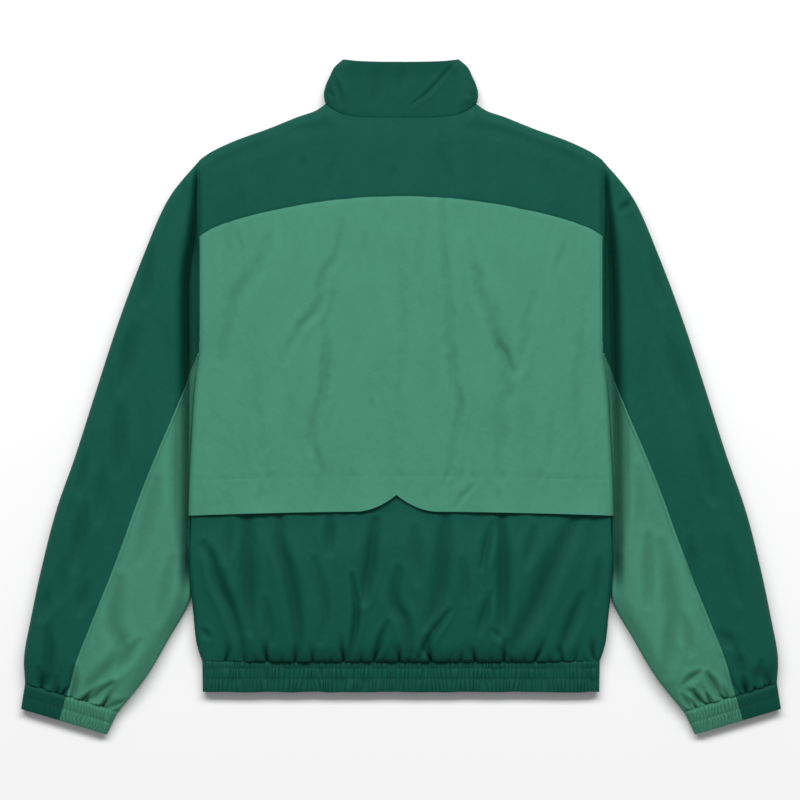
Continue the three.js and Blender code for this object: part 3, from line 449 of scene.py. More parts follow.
def seam_dip(away, depth=0.7, width=1.8):
    """The cloth turns down to its seam."""
    return depth * np.exp(-((away / width) ** 2))


def sink(z, depth, floor):
    """Lowers a height by a depth, never quite down to the floor."""
    room = np.maximum(z - floor, 0.01)
    return z - room * (1 - np.exp(-np.maximum(depth, 0) / room)) - np.minimum(depth, 0)


def body_half(y):
    return along(SIDES, "y", "half", y)


def back_top_y(x):
    """The neck seam's arc, then the shoulder fold."""
    size = np.abs(x)
    neck = BACK_NECK_Y + (NECK_POINT_Y - BACK_NECK_Y) * (size / NECK_HALF) ** 5
    return np.where(size < NECK_HALF, neck, along(SHOULDER, "x", "y", size))


def front_top_y(x):
    size = np.abs(x)
    neck = FRONT_NECK_Y + (NECK_POINT_Y - FRONT_NECK_Y) * (size / NECK_HALF) ** 2.4
    return np.where(size < NECK_HALF, neck, along(SHOULDER, "x", "y", size))


def yoke_seam_y(x):
    """A flat arch that turns down at the armholes."""
    share = np.abs(x) / ARMHOLE_X
    return 230 - 40 * share**2 - 6 * share**20


def cape_edge_y(x):
    """Nearly level, with a pointed notch at its middle."""
    notch = np.maximum(0, 1 - np.abs(x) / 45)
    return -131.3 - 5.6 * (np.abs(x) / 243) ** 2 + 19 * notch**2


def cape_stitch_y(x):
    """The cape's hem stitching, a little lower at the sides."""
    return -89.5 - 5.5 * (np.abs(x) / 243) ** 2


def zip_lift(x, y):
    return ZIP_LIFT * smooth((y - 222) / 62) * (1 - smooth((np.abs(x) - 10) / 60))


def below_underarm(y):
    return smooth((UNDERARM_Y + UNDERARM_BLEND - y) / UNDERARM_BLEND)


def band_top_z(inside):
    return BAND_FOLD_Z + (BAND_TOP_Z - BAND_FOLD_Z) * round_up(inside / BODY_ROUND)


def back_z(x, y):
    """The smooth mid surface of the back: a low crown between its side folds, falling to neck, shoulders and hem."""
    size = np.abs(x)
    inside = body_half(y) - size
    edge = mix(BODY_EDGE_Z, SIDE_SEAM_Z, below_underarm(y))
    crown = along(CROWN, "y", "z", y)
    z = edge + (BODY_EDGE_Z - edge) * round_up(inside / BODY_ROUND)
    z = z + (crown - BODY_EDGE_Z) * ease_up(inside / BODY_SLOPE)
    below = back_top_y(x) - y
    neck = 1 - smooth((size - NECK_HALF + 2) / 2)
    reach = mix(34, 14, smooth((size - 58) / 28))
    soft = (1 - np.clip(below / reach, 0, 1)) ** 2
    neck_top = COLLAR_FOLD_Z + (NECK_Z - COLLAR_FOLD_Z) * round_up((NECK_HALF - size) / NECK_ROUND)
    top = np.where(size < NECK_HALF, neck_top, SHOULDER_Z)
    z = z - (z - top) * mix(1 - round_up(below / SHOULDER_ROUND), soft, neck)
    band = band_top_z(inside)
    return band + (z - band) * round_up((y - HEM_SEAM_Y) / BLOUSE)


def front_z(x, y):
    """The fronts lie flat and turn up at the side seams and shoulders."""
    size = np.abs(x)
    inside = body_half(y) - size
    seam = mix(CLOTH / 2, SIDE_SEAM_Z, below_underarm(y))
    side = mix(seam, BAND_FOLD_Z, smooth((HEM_SEAM_Y + 20 - y) / 20))
    z = mix(side, CLOTH / 2, round_up(inside / BODY_ROUND))
    below = front_top_y(x) - y
    neck = 1 - smooth((size - NECK_HALF + 2) / 2)
    fall = mix(1 - round_up(below / SHOULDER_ROUND), (1 - np.clip(below / 14, 0, 1)) ** 2, neck)
    fold = np.where(size < NECK_HALF, COLLAR_FOLD_Z, SHOULDER_Z)
    top = mix(fold, CLOTH / 2, round_up((NECK_HALF - size) / NECK_ROUND))
    return z + (top - z) * fall + zip_lift(x, y)


def nip_shape(k):
    """The strength, reach and lean of the k-th pucker of the hem band seam: a few strong ones between weak ones."""
    strength = 1.4 + 5.6 * (0.5 + 0.5 * math.sin(k * 2.4 + 0.9)) ** 2
    return strength, 9 + 4.2 * strength, 0.34 * math.sin(k * 1.9 + 0.4)


def nip_share(x):
    """1 in a pucker of the hem band seam and 0 between two."""
    share = np.zeros_like(x)
    for k, centre in enumerate(SEAM_NIPS):
        share = np.maximum(share, min(1, nip_shape(k)[0] / 4) * np.exp(-(((x - centre) / 3) ** 2)))
    return share


def nip_depth(x, y):
    """Puckers at the hem band seam: narrow and deep at the seam, wider and shallower up the back, some forked."""
    depth = np.zeros_like(x)
    up = y - HEM_SEAM_Y
    for k, centre in enumerate(SEAM_NIPS):
        strength, reach, lean = nip_shape(k)
        fade = strength * (1 - smooth(up / reach)) ** 1.3
        width = 1.5 + 0.12 * up
        middle = centre + lean * up + 1.6 * np.sin(up / 7 + k)
        depth += fade * np.exp(-(((x - middle) / width) ** 2))
        if k % 3 == 1:
            depth += 0.45 * fade * np.exp(-(((x - middle + 0.4 * up - 1) / (0.8 * width)) ** 2))
    return depth


MATERIALS = {}


def socket(node, name, value):
    node.inputs[name].default_value = value


def cloth_material(name, colour, crinkle_bump):
    """Woven nylon: a dull sheen, a slightly uneven colour, painted shade from the fold attribute that darkens it in
    creases, tucks and shirring, fine crinkles and a plain weave. All but the painted shade lie on object coordinates."""
    material = bpy.data.materials.new(name)
    material.use_nodes = True
    nodes, links = material.node_tree.nodes, material.node_tree.links
    shader = nodes["Principled BSDF"]
    socket(shader, "Roughness", 0.6)
    socket(shader, "Specular IOR Level", 0.07)
    place = nodes.new("ShaderNodeTexCoord")
    stretch = nodes.new("ShaderNodeMapping")
    stretch.inputs["Scale"].default_value = (1, 0.5, 1)
    links.new(place.outputs["Object"], stretch.inputs["Vector"])
    uneven = nodes.new("ShaderNodeTexNoise")
    socket(uneven, "Scale", 38)
    socket(uneven, "Detail", 4)
    links.new(stretch.outputs["Vector"], uneven.inputs["Vector"])
    tint = nodes.new("ShaderNodeMix")
    tint.data_type = "RGBA"
    tint.inputs[6].default_value = (*[c * 0.9 for c in colour], 1)
    tint.inputs[7].default_value = (*[c * 1.1 for c in colour], 1)
    links.new(uneven.outputs[0], tint.inputs[0])
    # Painted shade: the fold attribute mixes the colour towards a much darker green where creases, tucks and shirring
    # lie in shade
    fold = nodes.new("ShaderNodeAttribute")
    fold.attribute_name = "fold"
    deep = nodes.new("ShaderNodeMix")
    deep.data_type = "RGBA"
    deep.inputs[7].default_value = (colour[0] * 0.12, colour[1] * 0.2, colour[2] * 0.18, 1)
    links.new(fold.outputs["Fac"], deep.inputs[0])
    links.new(tint.outputs[2], deep.inputs[6])
    links.new(deep.outputs[2], shader.inputs["Base Color"])
    fine = nodes.new("ShaderNodeTexNoise")
    socket(fine, "Scale", 150)
    socket(fine, "Detail", 5)
    socket(fine, "Roughness", 0.6)
    links.new(stretch.outputs["Vector"], fine.inputs["Vector"])
    bump = nodes.new("ShaderNodeBump")
    socket(bump, "Strength", 1)
    socket(bump, "Distance", crinkle_bump)
    links.new(fine.outputs[0], bump.inputs["Height"])
    weave = nodes.new("ShaderNodeBump")
    socket(weave, "Strength", 0.1)
    socket(weave, "Distance", 0.00006)
    threads = []
    for axis in "XY":
        wave = nodes.new("ShaderNodeTexWave")
        wave.bands_direction = axis
        socket(wave, "Scale", 620)
        links.new(place.outputs["Object"], wave.inputs["Vector"])
        threads.append(wave)
    both = nodes.new("ShaderNodeMath")
    both.operation = "MULTIPLY"
    links.new(threads[0].outputs["Fac"], both.inputs[0])
    links.new(threads[1].outputs["Fac"], both.inputs[1])
    links.new(both.outputs[0], weave.inputs["Height"])
    links.new(bump.outputs["Normal"], weave.inputs["Normal"])
    links.new(weave.outputs["Normal"], shader.inputs["Normal"])
    MATERIALS[name] = material


def plain_material(name, colour, roughness, metallic=0.0):
    material = bpy.data.materials.new(name)
    material.use_nodes = True
    shader = material.node_tree.nodes["Principled BSDF"]
    socket(shader, "Base Color", (*colour, 1))
    socket(shader, "Roughness", roughness)
    socket(shader, "Metallic", metallic)
    MATERIALS[name] = material


cloth_material("dark_green_nylon", (0.0052, 0.0785, 0.054), 0.0008)
cloth_material("light_green_nylon", (0.0585, 0.235, 0.157), 0.0008)
plain_material("zip_tape", (0.01, 0.07, 0.05), 0.8)
plain_material("zip_teeth", (0.02, 0.1, 0.07), 0.4)
plain_material("zip_metal", (0.27, 0.29, 0.28), 0.35, 1.0)
plain_material("thread_dark", (0.008, 0.075, 0.052), 0.6)
plain_material("thread_light", (0.05, 0.215, 0.14), 0.6)


def add_mesh(name, verts, faces, material, body="jacket", sharp=40, fold=None):
    """A mesh object from points in millimetres, riding on a body. fold is the painted shade at each point, from 0 to 1,
    mostly greater the deeper in a crease or tuck the point lies."""
    mesh = bpy.data.meshes.new(name)
    points = (np.asarray(verts, float) + (0, CENTRE_Y, 0)) * MM
    mesh.from_pydata(points.tolist(), [], np.asarray(faces).tolist())
    if fold is not None:
        mesh.attributes.new("fold", "FLOAT", "POINT").data.foreach_set("value", np.clip(fold, 0, 1).ravel())
    mesh.validate()
    mesh.shade_smooth()
    mesh.set_sharp_from_angle(angle=math.radians(sharp))
    mesh.materials.append(MATERIALS[material])
    piece = bpy.data.objects.new(name, mesh)
    bpy.context.scene.collection.objects.link(piece)
    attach(piece, body)
    return piece


def shell(name, points, wall, material, relief=0.0, down=False, fold=0.0):
    """A closed thin shell: the grid moved out and in along its normals by half the wall, joined round its rim.
    relief raises the outer side alone, fold is the painted shade in creases and tucks, and down says that the outer
    side faces down."""
    normal = np.cross(np.gradient(points, axis=0), np.gradient(points, axis=1))
    normal /= np.linalg.norm(normal, axis=2, keepdims=True)
    top = np.unravel_index(np.argmax(points[..., 2]), points.shape[:2])
    turn = (normal[top][2] < 0) != down
    normal = -normal if turn else normal
    relief = np.asarray(relief) * np.ones(points.shape[:2])
    outer = points + normal * (wall / 2 + relief)[..., None]
    inner = points - normal * wall / 2
    rows, cols = points.shape[:2]
    index = np.arange(rows * cols).reshape(rows, cols)
    quads = np.stack([index[:-1, :-1], index[1:, :-1], index[1:, 1:], index[:-1, 1:]], -1).reshape(-1, 4)
    rim = np.concatenate([index[:-1, 0], index[-1, :-1], index[:0:-1, -1], index[0, :0:-1]])
    after = np.roll(rim, -1)
    count = rows * cols
    sides = np.stack([rim, rim + count, after + count, after], -1)
    faces = np.concatenate([quads, quads[:, ::-1] + count, sides])
    faces = faces[:, ::-1] if turn else faces
    along_rows, along_cols = points[1:, :-1] - points[:-1, :-1], points[:-1, 1:] - points[:-1, :-1]
    area = np.linalg.norm(np.cross(along_rows, along_cols), axis=2).sum()
    folded = np.tile((np.asarray(fold) * np.ones(points.shape[:2])).ravel(), 2)
    both = np.concatenate([outer.reshape(-1, 3), inner.reshape(-1, 3)])
    piece = add_mesh(name, both, faces, material, fold=folded)
    return piece, area * 1e-6


def sheet(node):
    """Hides the solid of a piece whose cloth shell now stands in for it."""
    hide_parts(node)


def stitches(name, line, pitch, material, length=0.62, radius=0.28):
    """A row of short rounded stitches along a polyline, lying on it: each is a six-sided spindle."""
    line = np.asarray(line, float)
    run = np.concatenate([[0], np.cumsum(np.linalg.norm(line[1:] - line[:-1], axis=1))])
    marks = np.arange(pitch, run[-1] - pitch, pitch)
    at = lambda s: np.stack([np.interp(s, run, line[:, k]) for k in range(3)], -1)
    a, b = at(marks - pitch * length / 2), at(marks + pitch * length / 2)
    lengthwise = (b - a) / np.linalg.norm(b - a, axis=1, keepdims=True)
    up = np.array([0, 0, 1.0])
    side = np.cross(lengthwise, up)
    side /= np.linalg.norm(side, axis=1, keepdims=True)
    lift = np.cross(side, lengthwise)
    rings = []
    for share, swell in ((0, 0.35), (0.25, 1), (0.75, 1), (1, 0.35)):
        centre = mix(a, b, share) + lift * radius * (0.4 if swell == 1 else -0.2)
        for k in range(6):
            angle = k * math.pi / 3
            rings.append(centre + radius * swell * (side * math.cos(angle) + lift * math.sin(angle)))
    verts = np.stack(rings, 1)
    one = []
    for ring in range(3):
        for k in range(6):
            n = (k + 1) % 6
            one.append((ring * 6 + k, ring * 6 + n, ring * 6 + 6 + n, ring * 6 + 6 + k))
    one += [(0, 5, 4, 3), (0, 3, 2, 1), (18, 19, 20, 21), (18, 21, 22, 23)]
    faces = (np.arange(len(marks))[:, None, None] * 24 + np.array(one)[None]).reshape(-1, 4)
    return add_mesh(name, verts.reshape(-1, 3), faces, material)


def grid(first, second):
    return np.meshgrid(first, second, indexing="ij")


def turn_in(radius, count):
    """Distances from a fold, closer together where the cloth turns."""
    return radius * (1 - np.cos(np.linspace(0, math.pi / 2, count, endpoint=False)))


def body_columns(count):
    """Places across the body at the armhole's width, closer at its side folds."""
    half = np.concatenate([np.linspace(0, ARMHOLE_X - BODY_ROUND, count), (ARMHOLE_X - turn_in(BODY_ROUND, 8))[::-1]])
    return np.concatenate([-half[:0:-1], half])


def armhole_ridge(inside, y):
    """The seam allowance pressed to the body side of the armhole stands up as a flat strip."""
    on = smooth((6.4 - inside) / 1.2) * (1 - below_underarm(y - 8))
    return 0.35 * on


# Yoke
columns = body_columns(118)
rise = np.concatenate([np.linspace(0, 0.9, 58), 0.9 + 0.1 * np.sin(np.linspace(0, math.pi / 2, 12))[1:]])
c, v = grid(columns, rise)
y = mix(yoke_seam_y(c) + SEAM_GAP, back_top_y(c) - np.where(np.abs(c) < NECK_HALF, SEAM_GAP, 0), v)
inside = ARMHOLE_X - np.abs(c)
depth = crease_depth(YOKE_CREASES + CAPE_CREASES, c, y) * smooth(inside / 14)
z = back_z(c, y) - depth
z = z + crinkle(c, y, 1, 0.8) * smooth(inside / 12) * smooth((back_top_y(c) - y) / 16)
z = z - armhole_dip(inside, y) - seam_dip(y - yoke_seam_y(c), 0.5, 1.4)
relief = armhole_ridge(inside, y)
# Painted shade: a slight even darkening and more in the creases
fold = YOKE_SHADE + FOLD_SHADE * depth
yoke, area = shell("back_yoke_cloth", np.stack([c, y, z], -1), CLOTH, "dark_green_nylon", relief, fold=fold)
sheet("back_yoke")


# Cape
def cape_surface(column, y):
    """A point of the cape, its creases, its slightly waved free edge and the painted shade in its creases."""
    half = body_half(y)
    x = column / ARMHOLE_X * half
    inside = half - np.abs(x)
    calm = smooth(inside / 14)
    bent = x + 2.4 * noise(x, y, 26, 15, 71) + 0.9 * noise(x, y, 8, 6, 72)
    depth = CAPE_RELIEF * crease_depth(CAPE_CREASES, bent, y) * (1 + 0.35 * noise(x, y, 15, 24, 73)) * calm
    z = back_z(x, y) - depth + crinkle(x, y, 2, 0.9, 0.34) * calm
    free = np.maximum(1 - (y - cape_edge_y(x - CAPE_SLIP)) / CAPE_FREE_REACH, 0) ** 2
    lift = 0.6 + 0.3 * noise(x, y * 0, 34, 50, 21)
    for centre, width, height in CAPE_LIFTS:
        lift = lift + height * np.exp(-(((x - centre) / width) ** 2))
    z = z + free * lift * calm
    z = z - 0.45 * np.exp(-(((y - cape_stitch_y(x)) / 1.5) ** 2))
    z = z - armhole_dip(inside, y) - seam_dip(yoke_seam_y(x) - y, 0.5, 1.4)
    # Painted shade in the cape's creases
    return x, z, 0.8 * FOLD_SHADE * depth


columns = body_columns(116)
c, v = grid(columns, np.linspace(0, 1, 124))
y = mix(cape_edge_y(c), yoke_seam_y(c) - SEAM_GAP, v)
x, z, fold = cape_surface(c + CAPE_SLIP * (1 - v) ** 2 * (1 - (c / ARMHOLE_X) ** 2), y)
relief = armhole_ridge(body_half(y) - np.abs(x), y)
cape, area = shell("back_cape_cloth", np.stack([x, y, z], -1), CLOTH, "light_green_nylon", relief, fold=fold)
c = np.linspace(-ARMHOLE_X + 7, ARMHOLE_X - 7, 400)
y = cape_stitch_y(c)
x, z, _ = cape_surface(c, y)
hem_stitches = stitches("cape_hem_stitches", np.stack([x, y, z + CLOTH / 2], -1), 2.8, "thread_light")
sheet("back_cape")

# Lower back
columns = body_columns(150)
v = np.concatenate([np.linspace(0, 0.12, 26), np.linspace(0.12, 1, 76)[1:]])
c, v = grid(columns, v)
y = mix(HEM_SEAM_Y + 0.5, CAPE_STITCH_Y, v)
half = body_half(y)
x = c / ARMHOLE_X * half
covered = 1 - smooth((cape_edge_y(x) - 8 - y) / 50)
inside = half - np.abs(x)
calm = smooth(inside / 16)
near = smooth((y - HEM_SEAM_Y) / 1.6)
creases = LOWER_RELIEF * crease_depth(LOWER_CREASES, x, y) * calm
depth = creases + nip_depth(x, y) * smooth(inside / 12)
# Painted shade in the creases, and darker still in the puckers at the hem band seam
fold = FOLD_SHADE * (0.9 * creases + 1.9 * (depth - creases))
depth = depth - crinkle(x, y, 3, 1.1) * calm
z = sink(back_z(x, y) - UNDER * covered * smooth(inside / 4), depth * near, 7.6)
up = y - HEM_SEAM_Y
bulge = smooth(up / 4) * (1 - smooth((up - 4) / 22)) * (1 - 0.85 * nip_share(x)) * smooth(inside / 10)
y = y - bulge * (1.5 + 1.0 * noise(x, y * 0, 17, 9, 51))
x = x * (1 - covered * UNDER / half)
lower, area = shell("lower_back_cloth", np.stack([x, y, z], -1), CLOTH, "dark_green_nylon", fold=fold)
sheet("lower_back")

# Fronts
for side, name in ((-1, "front_left"), (1, "front_right")):
    plain = np.linspace(ZIP_GAP, ARMHOLE_X - BODY_ROUND, 44)
    c, v = grid(
        np.concatenate([plain, (ARMHOLE_X - turn_in(BODY_ROUND, 7))[::-1]]),
        np.concatenate([np.linspace(0, 0.93, 90), 0.93 + 0.07 * np.sin(np.linspace(0, math.pi / 2, 14))[1:]]),
    )
    neck = c < NECK_HALF
    y = mix(HEM_SEAM_Y + 0.3, front_top_y(c) - np.where(neck, 0.6 + 1.4 * (c / NECK_HALF) ** 2, 0), v)
    half = body_half(y)
    x = side * (ZIP_GAP + (c - ZIP_GAP) / (ARMHOLE_X - ZIP_GAP) * (half - ZIP_GAP))
    inside = half - np.abs(x)
    calm = smooth(inside / 20) * smooth((front_top_y(x) - y) / 24) * smooth((np.abs(x) - 16) / 20)
    bow = crease_depth(FRONT_CREASES, x, y) + 0.35 * (1 + noise(x, y, 22, 70, 5))
    z = front_z(x, y) + np.maximum(bow, 0) * calm
    piece, area = shell(name + "_cloth", np.stack([x, y, z], -1), CLOTH, "dark_green_nylon", down=True)
    sheet(name)


def ring_place(step, half, radius, gap):
    """Where a step round a flattened ring lies: its layer, its distance from the fold and its x."""
    size = np.abs(step)
    upper = size <= 1
    from_fold = np.abs(1 - size)
    turn = np.minimum(from_fold / (1 - RING_TURN), 1) * (math.pi / 2)
    length = np.where(upper, half, half - gap)
    plain = np.maximum(from_fold - 1 + RING_TURN, 0) / RING_TURN
    inside = radius * (1 - np.cos(turn)) + plain * (length - radius)
    return upper, inside, np.sign(step) * (half - inside)


def ring_steps(up, turn, down):
    """Steps round a flattened ring: 0 in the middle of its upper layer, 1 on a fold, 2 at the zip, with both signs."""
    half = np.concatenate([
        np.linspace(0, RING_TURN, up), np.linspace(RING_TURN, 1, turn)[1:],
        np.linspace(1, 2 - RING_TURN, turn)[1:], np.linspace(2 - RING_TURN, 2, down)[1:],
    ])
    return np.concatenate([-half[:0:-1], half])


# Collar
step, rise = grid(ring_steps(72, 14, 34), np.linspace(0, 1, 44))
fold = along(COLLAR_FOLD, "rise", "x", rise)
upper, inside, x = ring_place(step, fold, NECK_ROUND, ZIP_GAP)
across = np.abs(x) / fold
base = np.where(upper, mix(BACK_NECK_Y + 0.2, COLLAR_TOP_Y, rise), mix(FRONT_NECK_Y + 0.3, FRONT_COLLAR_TOP_Y, rise))
bend = np.where(upper, across ** mix(5, 3, rise), across**2.4)
y = mix(base, along(COLLAR_FOLD, "rise", "y", rise), bend)
calm = round_up(inside / NECK_ROUND)
depth = crease_depth(COLLAR_CREASES, x, y)
high = NECK_Z - COLLAR_LEAN * smooth((rise - 0.7) / 0.3) + crinkle(x, y, 4, 0.7) - depth
high = high - seam_dip(rise * 66, 0.7, 1.6)
low = COLLAR_WALL / 2 + zip_lift(x, y)
z = mix(COLLAR_FOLD_Z, np.where(upper, high, low), calm)
# Painted shade on the upper layer: an even darkening and more in the creases
fold = (COLLAR_SHADE + 1.6 * FOLD_SHADE * depth) * upper
collar, area = shell("collar_cloth", np.stack([x, y, z], -1), COLLAR_WALL, "dark_green_nylon", fold=fold)
sheet("collar")

# Hem band
CHANNELS = (0, 0.243, 0.593, 1)


def channel_puff(drop):
    """Height of the casing between its lines of channel stitching, from 0 on a line to 1 between two."""
    puff = np.zeros_like(drop)
    for low, high in zip(CHANNELS, CHANNELS[1:]):
        share = np.clip((drop - low) / (high - low), 0, 1)
        puff = np.maximum(puff, np.sqrt(np.maximum(1 - (2 * share - 1) ** 2, 0)) * ((drop >= low) & (drop <= high)))
    return puff


def band_relief(drop, x):
    """Fine uneven shirring across the band, different from one channel to the next: the size of a sine whose phase
    wanders, puffed up between the lines of stitching. Also the painted shade between the ribs and along the lines of
    stitching."""
    shift = np.select([drop < CHANNELS[1], drop < CHANNELS[2]], [0.0, 3.1], 6.4)
    phase = x / BAND_RIB * math.pi + 2.4 * noise(x + shift, drop * 1.2, 9, 1, 31) + 1.2 * noise(x, drop * 0, 24, 9, 32)
    rib = np.abs(np.sin(phase)) ** 0.7
    size = 0.9 + 0.9 * noise(x + 5 * shift, drop * 0, 8, 9, 33)
    return channel_puff(drop) * (0.3 + rib * size), 0.42 * (1 - rib) + 0.12 * (1 - channel_puff(drop))


def band_surface(step, drop):
    """A point of the band's flattened ring, its edges slightly waved, and 1 where it is the upper layer."""
    half = mix(227, 226.4, drop)
    upper, inside, x = ring_place(step, half, BODY_ROUND, ZIP_GAP)
    y = mix(HEM_SEAM_Y + np.where(upper, 1.2, -0.2), HEM_Y, drop)
    wave = 0.7 * noise(x, y * 0, 15, 9, 34) * smooth((drop - 0.7) / 0.3)
    wave = wave + 0.9 * noise(x, y * 0, 9, 9, 35) * smooth((0.25 - drop) / 0.25)
    high = mix(BAND_TOP_Z, BAND_END_Z, drop) - seam_dip(drop * 36, 2.2, 1.6)
    z = mix(BAND_FOLD_Z, np.where(upper, high, BAND_WALL / 2), round_up(inside / BODY_ROUND))
    return x, y + np.where(upper, wave, 0) * smooth(inside / 10), z, np.where(upper, smooth(inside / 5), 0)


step, drop = grid(ring_steps(420, 9, 30), np.linspace(1, 0, 25))
x, y, z, top = band_surface(step, drop)
# Painted shade between the band's ribs and along its stitching, on its upper layer
relief, fold = band_relief(drop, x)
band_cloth, area = shell(
    "hem_band_cloth", np.stack([x, y, z], -1), BAND_WALL, "dark_green_nylon", relief * top - 0.15, fold=fold * top
)
for k, line in enumerate(CHANNELS[1:3]):
    step = np.linspace(-0.8, 0.8, 700)
    x, y, z, _ = band_surface(step, np.full_like(step, line))
    stitches(f"band_stitches_{k + 1}", np.stack([x, y, z + BAND_WALL / 2 - 0.15], -1), 2.6, "thread_dark")
sheet("hem_band")


def tube_inside(q, length, up_round, down_round):
    """Distance from the panel's own fold for a place q round a flattened tube, below 0 on the lower layer."""
    size = np.abs(q)
    radius = np.where(q >= 0, up_round, down_round)
    turn = np.minimum(size / TURN_SHARE, 1) * (math.pi / 2)
    plain = np.maximum(size - TURN_SHARE, 0) / (1 - TURN_SHARE)
    return radius * (1 - np.cos(turn)) + plain * (length - radius)


def tuck_height(x, y, z, side):
    """The sleeve's height with the deep tuck beside the armhole pressed into it, and the painted shade of the tuck
    there.
    """
    near_top = smooth((y - 165) / 80)
    away = (x - along(TUCK_LINE[side], "y", "x", y)) / mix(1, 0.55, near_top)
    low, full_low, full_high, high = TUCK_ENDS
    share = smooth((y - low) / (full_low - low)) * (1 - smooth((y - full_high) / (high - full_high)))
    share = share * (1 - smooth((away - 9) / 24))
    shade = share * (1 - 0.35 * near_top) * along(TUCK_SECTION[side], "away", "shade", away)
    return mix(z, along(TUCK_SECTION[side], "away", "z", away), share * (1 - 0.45 * near_top)), shade


def sleeve_surface(q, t, dark, side):
    """A point of a sleeve: flat below, rounded at its folds and crowned above, falling to the armhole and the cuff."""
    row = lambda column: along(SLEEVE, "t", column, t)
    out_x, out_y, in_x, in_y = row("out_x"), row("out_y"), row("in_x"), row("in_y")
    width = np.hypot(in_x - out_x, in_y - out_y)
    gap = mix(1.1, 0.12, smooth(t / 0.2))
    own = (row("seam") if dark else 1 - row("seam")) * width - gap / 2
    up_round = np.minimum(SLEEVE_OUTER_ROUND if dark else SLEEVE_INNER_ROUND, own * 0.8)
    down_round = np.minimum(BODY_ROUND if dark else SLEEVE_INNER_ROUND, own * 0.8)
    inside = tube_inside(q, own, up_round, down_round)
    from_outer = inside if dark else width - inside
    from_inner = width - from_outer
    share = from_outer / width
    x, y = mix(out_x, in_x, share), mix(out_y, in_y, share)
    low = row("low")
    under = CLOTH / 2 + (SLEEVE_OUTER_Z - CLOTH / 2) * (1 - round_up(from_outer / BODY_ROUND))
    under = under + (low - CLOTH / 2) * (1 - round_up(from_inner / SLEEVE_INNER_ROUND))
    crown, ledge = row("crown"), row("ledge")
    z = crown - (crown - SLEEVE_OUTER_Z) * (1 - round_up(from_outer / SLEEVE_OUTER_ROUND))
    z = z - (crown - ledge) * (1 - ease_up(from_inner / (SLEEVE_STEEPNESS * row("slope"))))
    z = z - (ledge - low) * (1 - round_up(from_inner / SLEEVE_INNER_ROUND))
    armhole_y = mix(SHOULDER_Y, UNDERARM_Y, share)
    armhole = np.minimum(back_z(np.full_like(x, ARMHOLE_X), armhole_y), BODY_EDGE_Z)
    armhole = armhole - armhole_dip(0, armhole_y)
    tucked, shade = tuck_height(x, y, mix(armhole, z, smooth(t / 0.1)), side)
    z = mix(armhole, tucked, smooth(t / 0.016))
    calm = round_up(from_outer / 14) * smooth(from_inner / 5) * smooth(t / 0.02)
    puckers, gathered = 0.0, 0.0
    for k in range(SLEEVE_PUCKERS):
        place = (k + 0.5 + 0.35 * math.sin(k * 2.7 + side)) / SLEEVE_PUCKERS
        reach = 0.055 + 0.03 * math.sin(k * 1.7 + side)
        strength = (4.2 + 2.6 * math.sin(k * 2.3 + side)) * smooth(1 - (1 - t) / reach)
        lean = (1 - t) * (0.5 + 0.9 * math.sin(k * 3.3))
        pucker = np.exp(-(((share - place - lean) * width / (1.8 + 60 * (1 - t))) ** 2))
        gathered = np.maximum(gathered, pucker)
        puckers = puckers + strength * pucker
    creases = SLEEVE_RELIEF * crease_depth(SLEEVE_CREASES[side], side * x, y)
    # Painted shade: the tuck's, or an even darkening of the light panels with more in creases and puckers, whichever is
    # more
    fold = np.maximum(shade, (0 if dark else LIGHT_SLEEVE_SHADE) + FOLD_SHADE * calm * (0.8 * creases + 1.2 * puckers))
    depth = creases + puckers - crinkle(side * x, y, 6 + side, 1.1)
    z = sink(z, depth * calm, 2.4)
    z = z - seam_dip(own - inside, 0.45, 1.4) + (0 if dark else seam_dip(own - inside - 2.6, 1.0, 1.1))
    z = z - seam_dip((1 - t) * 360, 1.6, 1.6)
    bulge = smooth((1 - t) / 0.012) * (1 - smooth((1 - t - 0.012) / 0.05)) * (1 - 0.85 * gathered)
    bulge = np.where(q >= 0, bulge * round_up(from_outer / 12) * smooth(from_inner / 8) * 2.6, 0)
    upper = q >= 0
    overlap = np.where(upper, 1 - smooth((1 - t) / 0.01), 0)
    under_body = np.where(upper, 1 - smooth(t / 0.004), 0)
    x, z = x + 0.3 * bulge - 1.0 * under_body, np.where(upper, z - 0.35 * under_body, under)
    return side * x, y - 0.95 * bulge - 0.5 * overlap, z, np.where(upper, fold, 0)


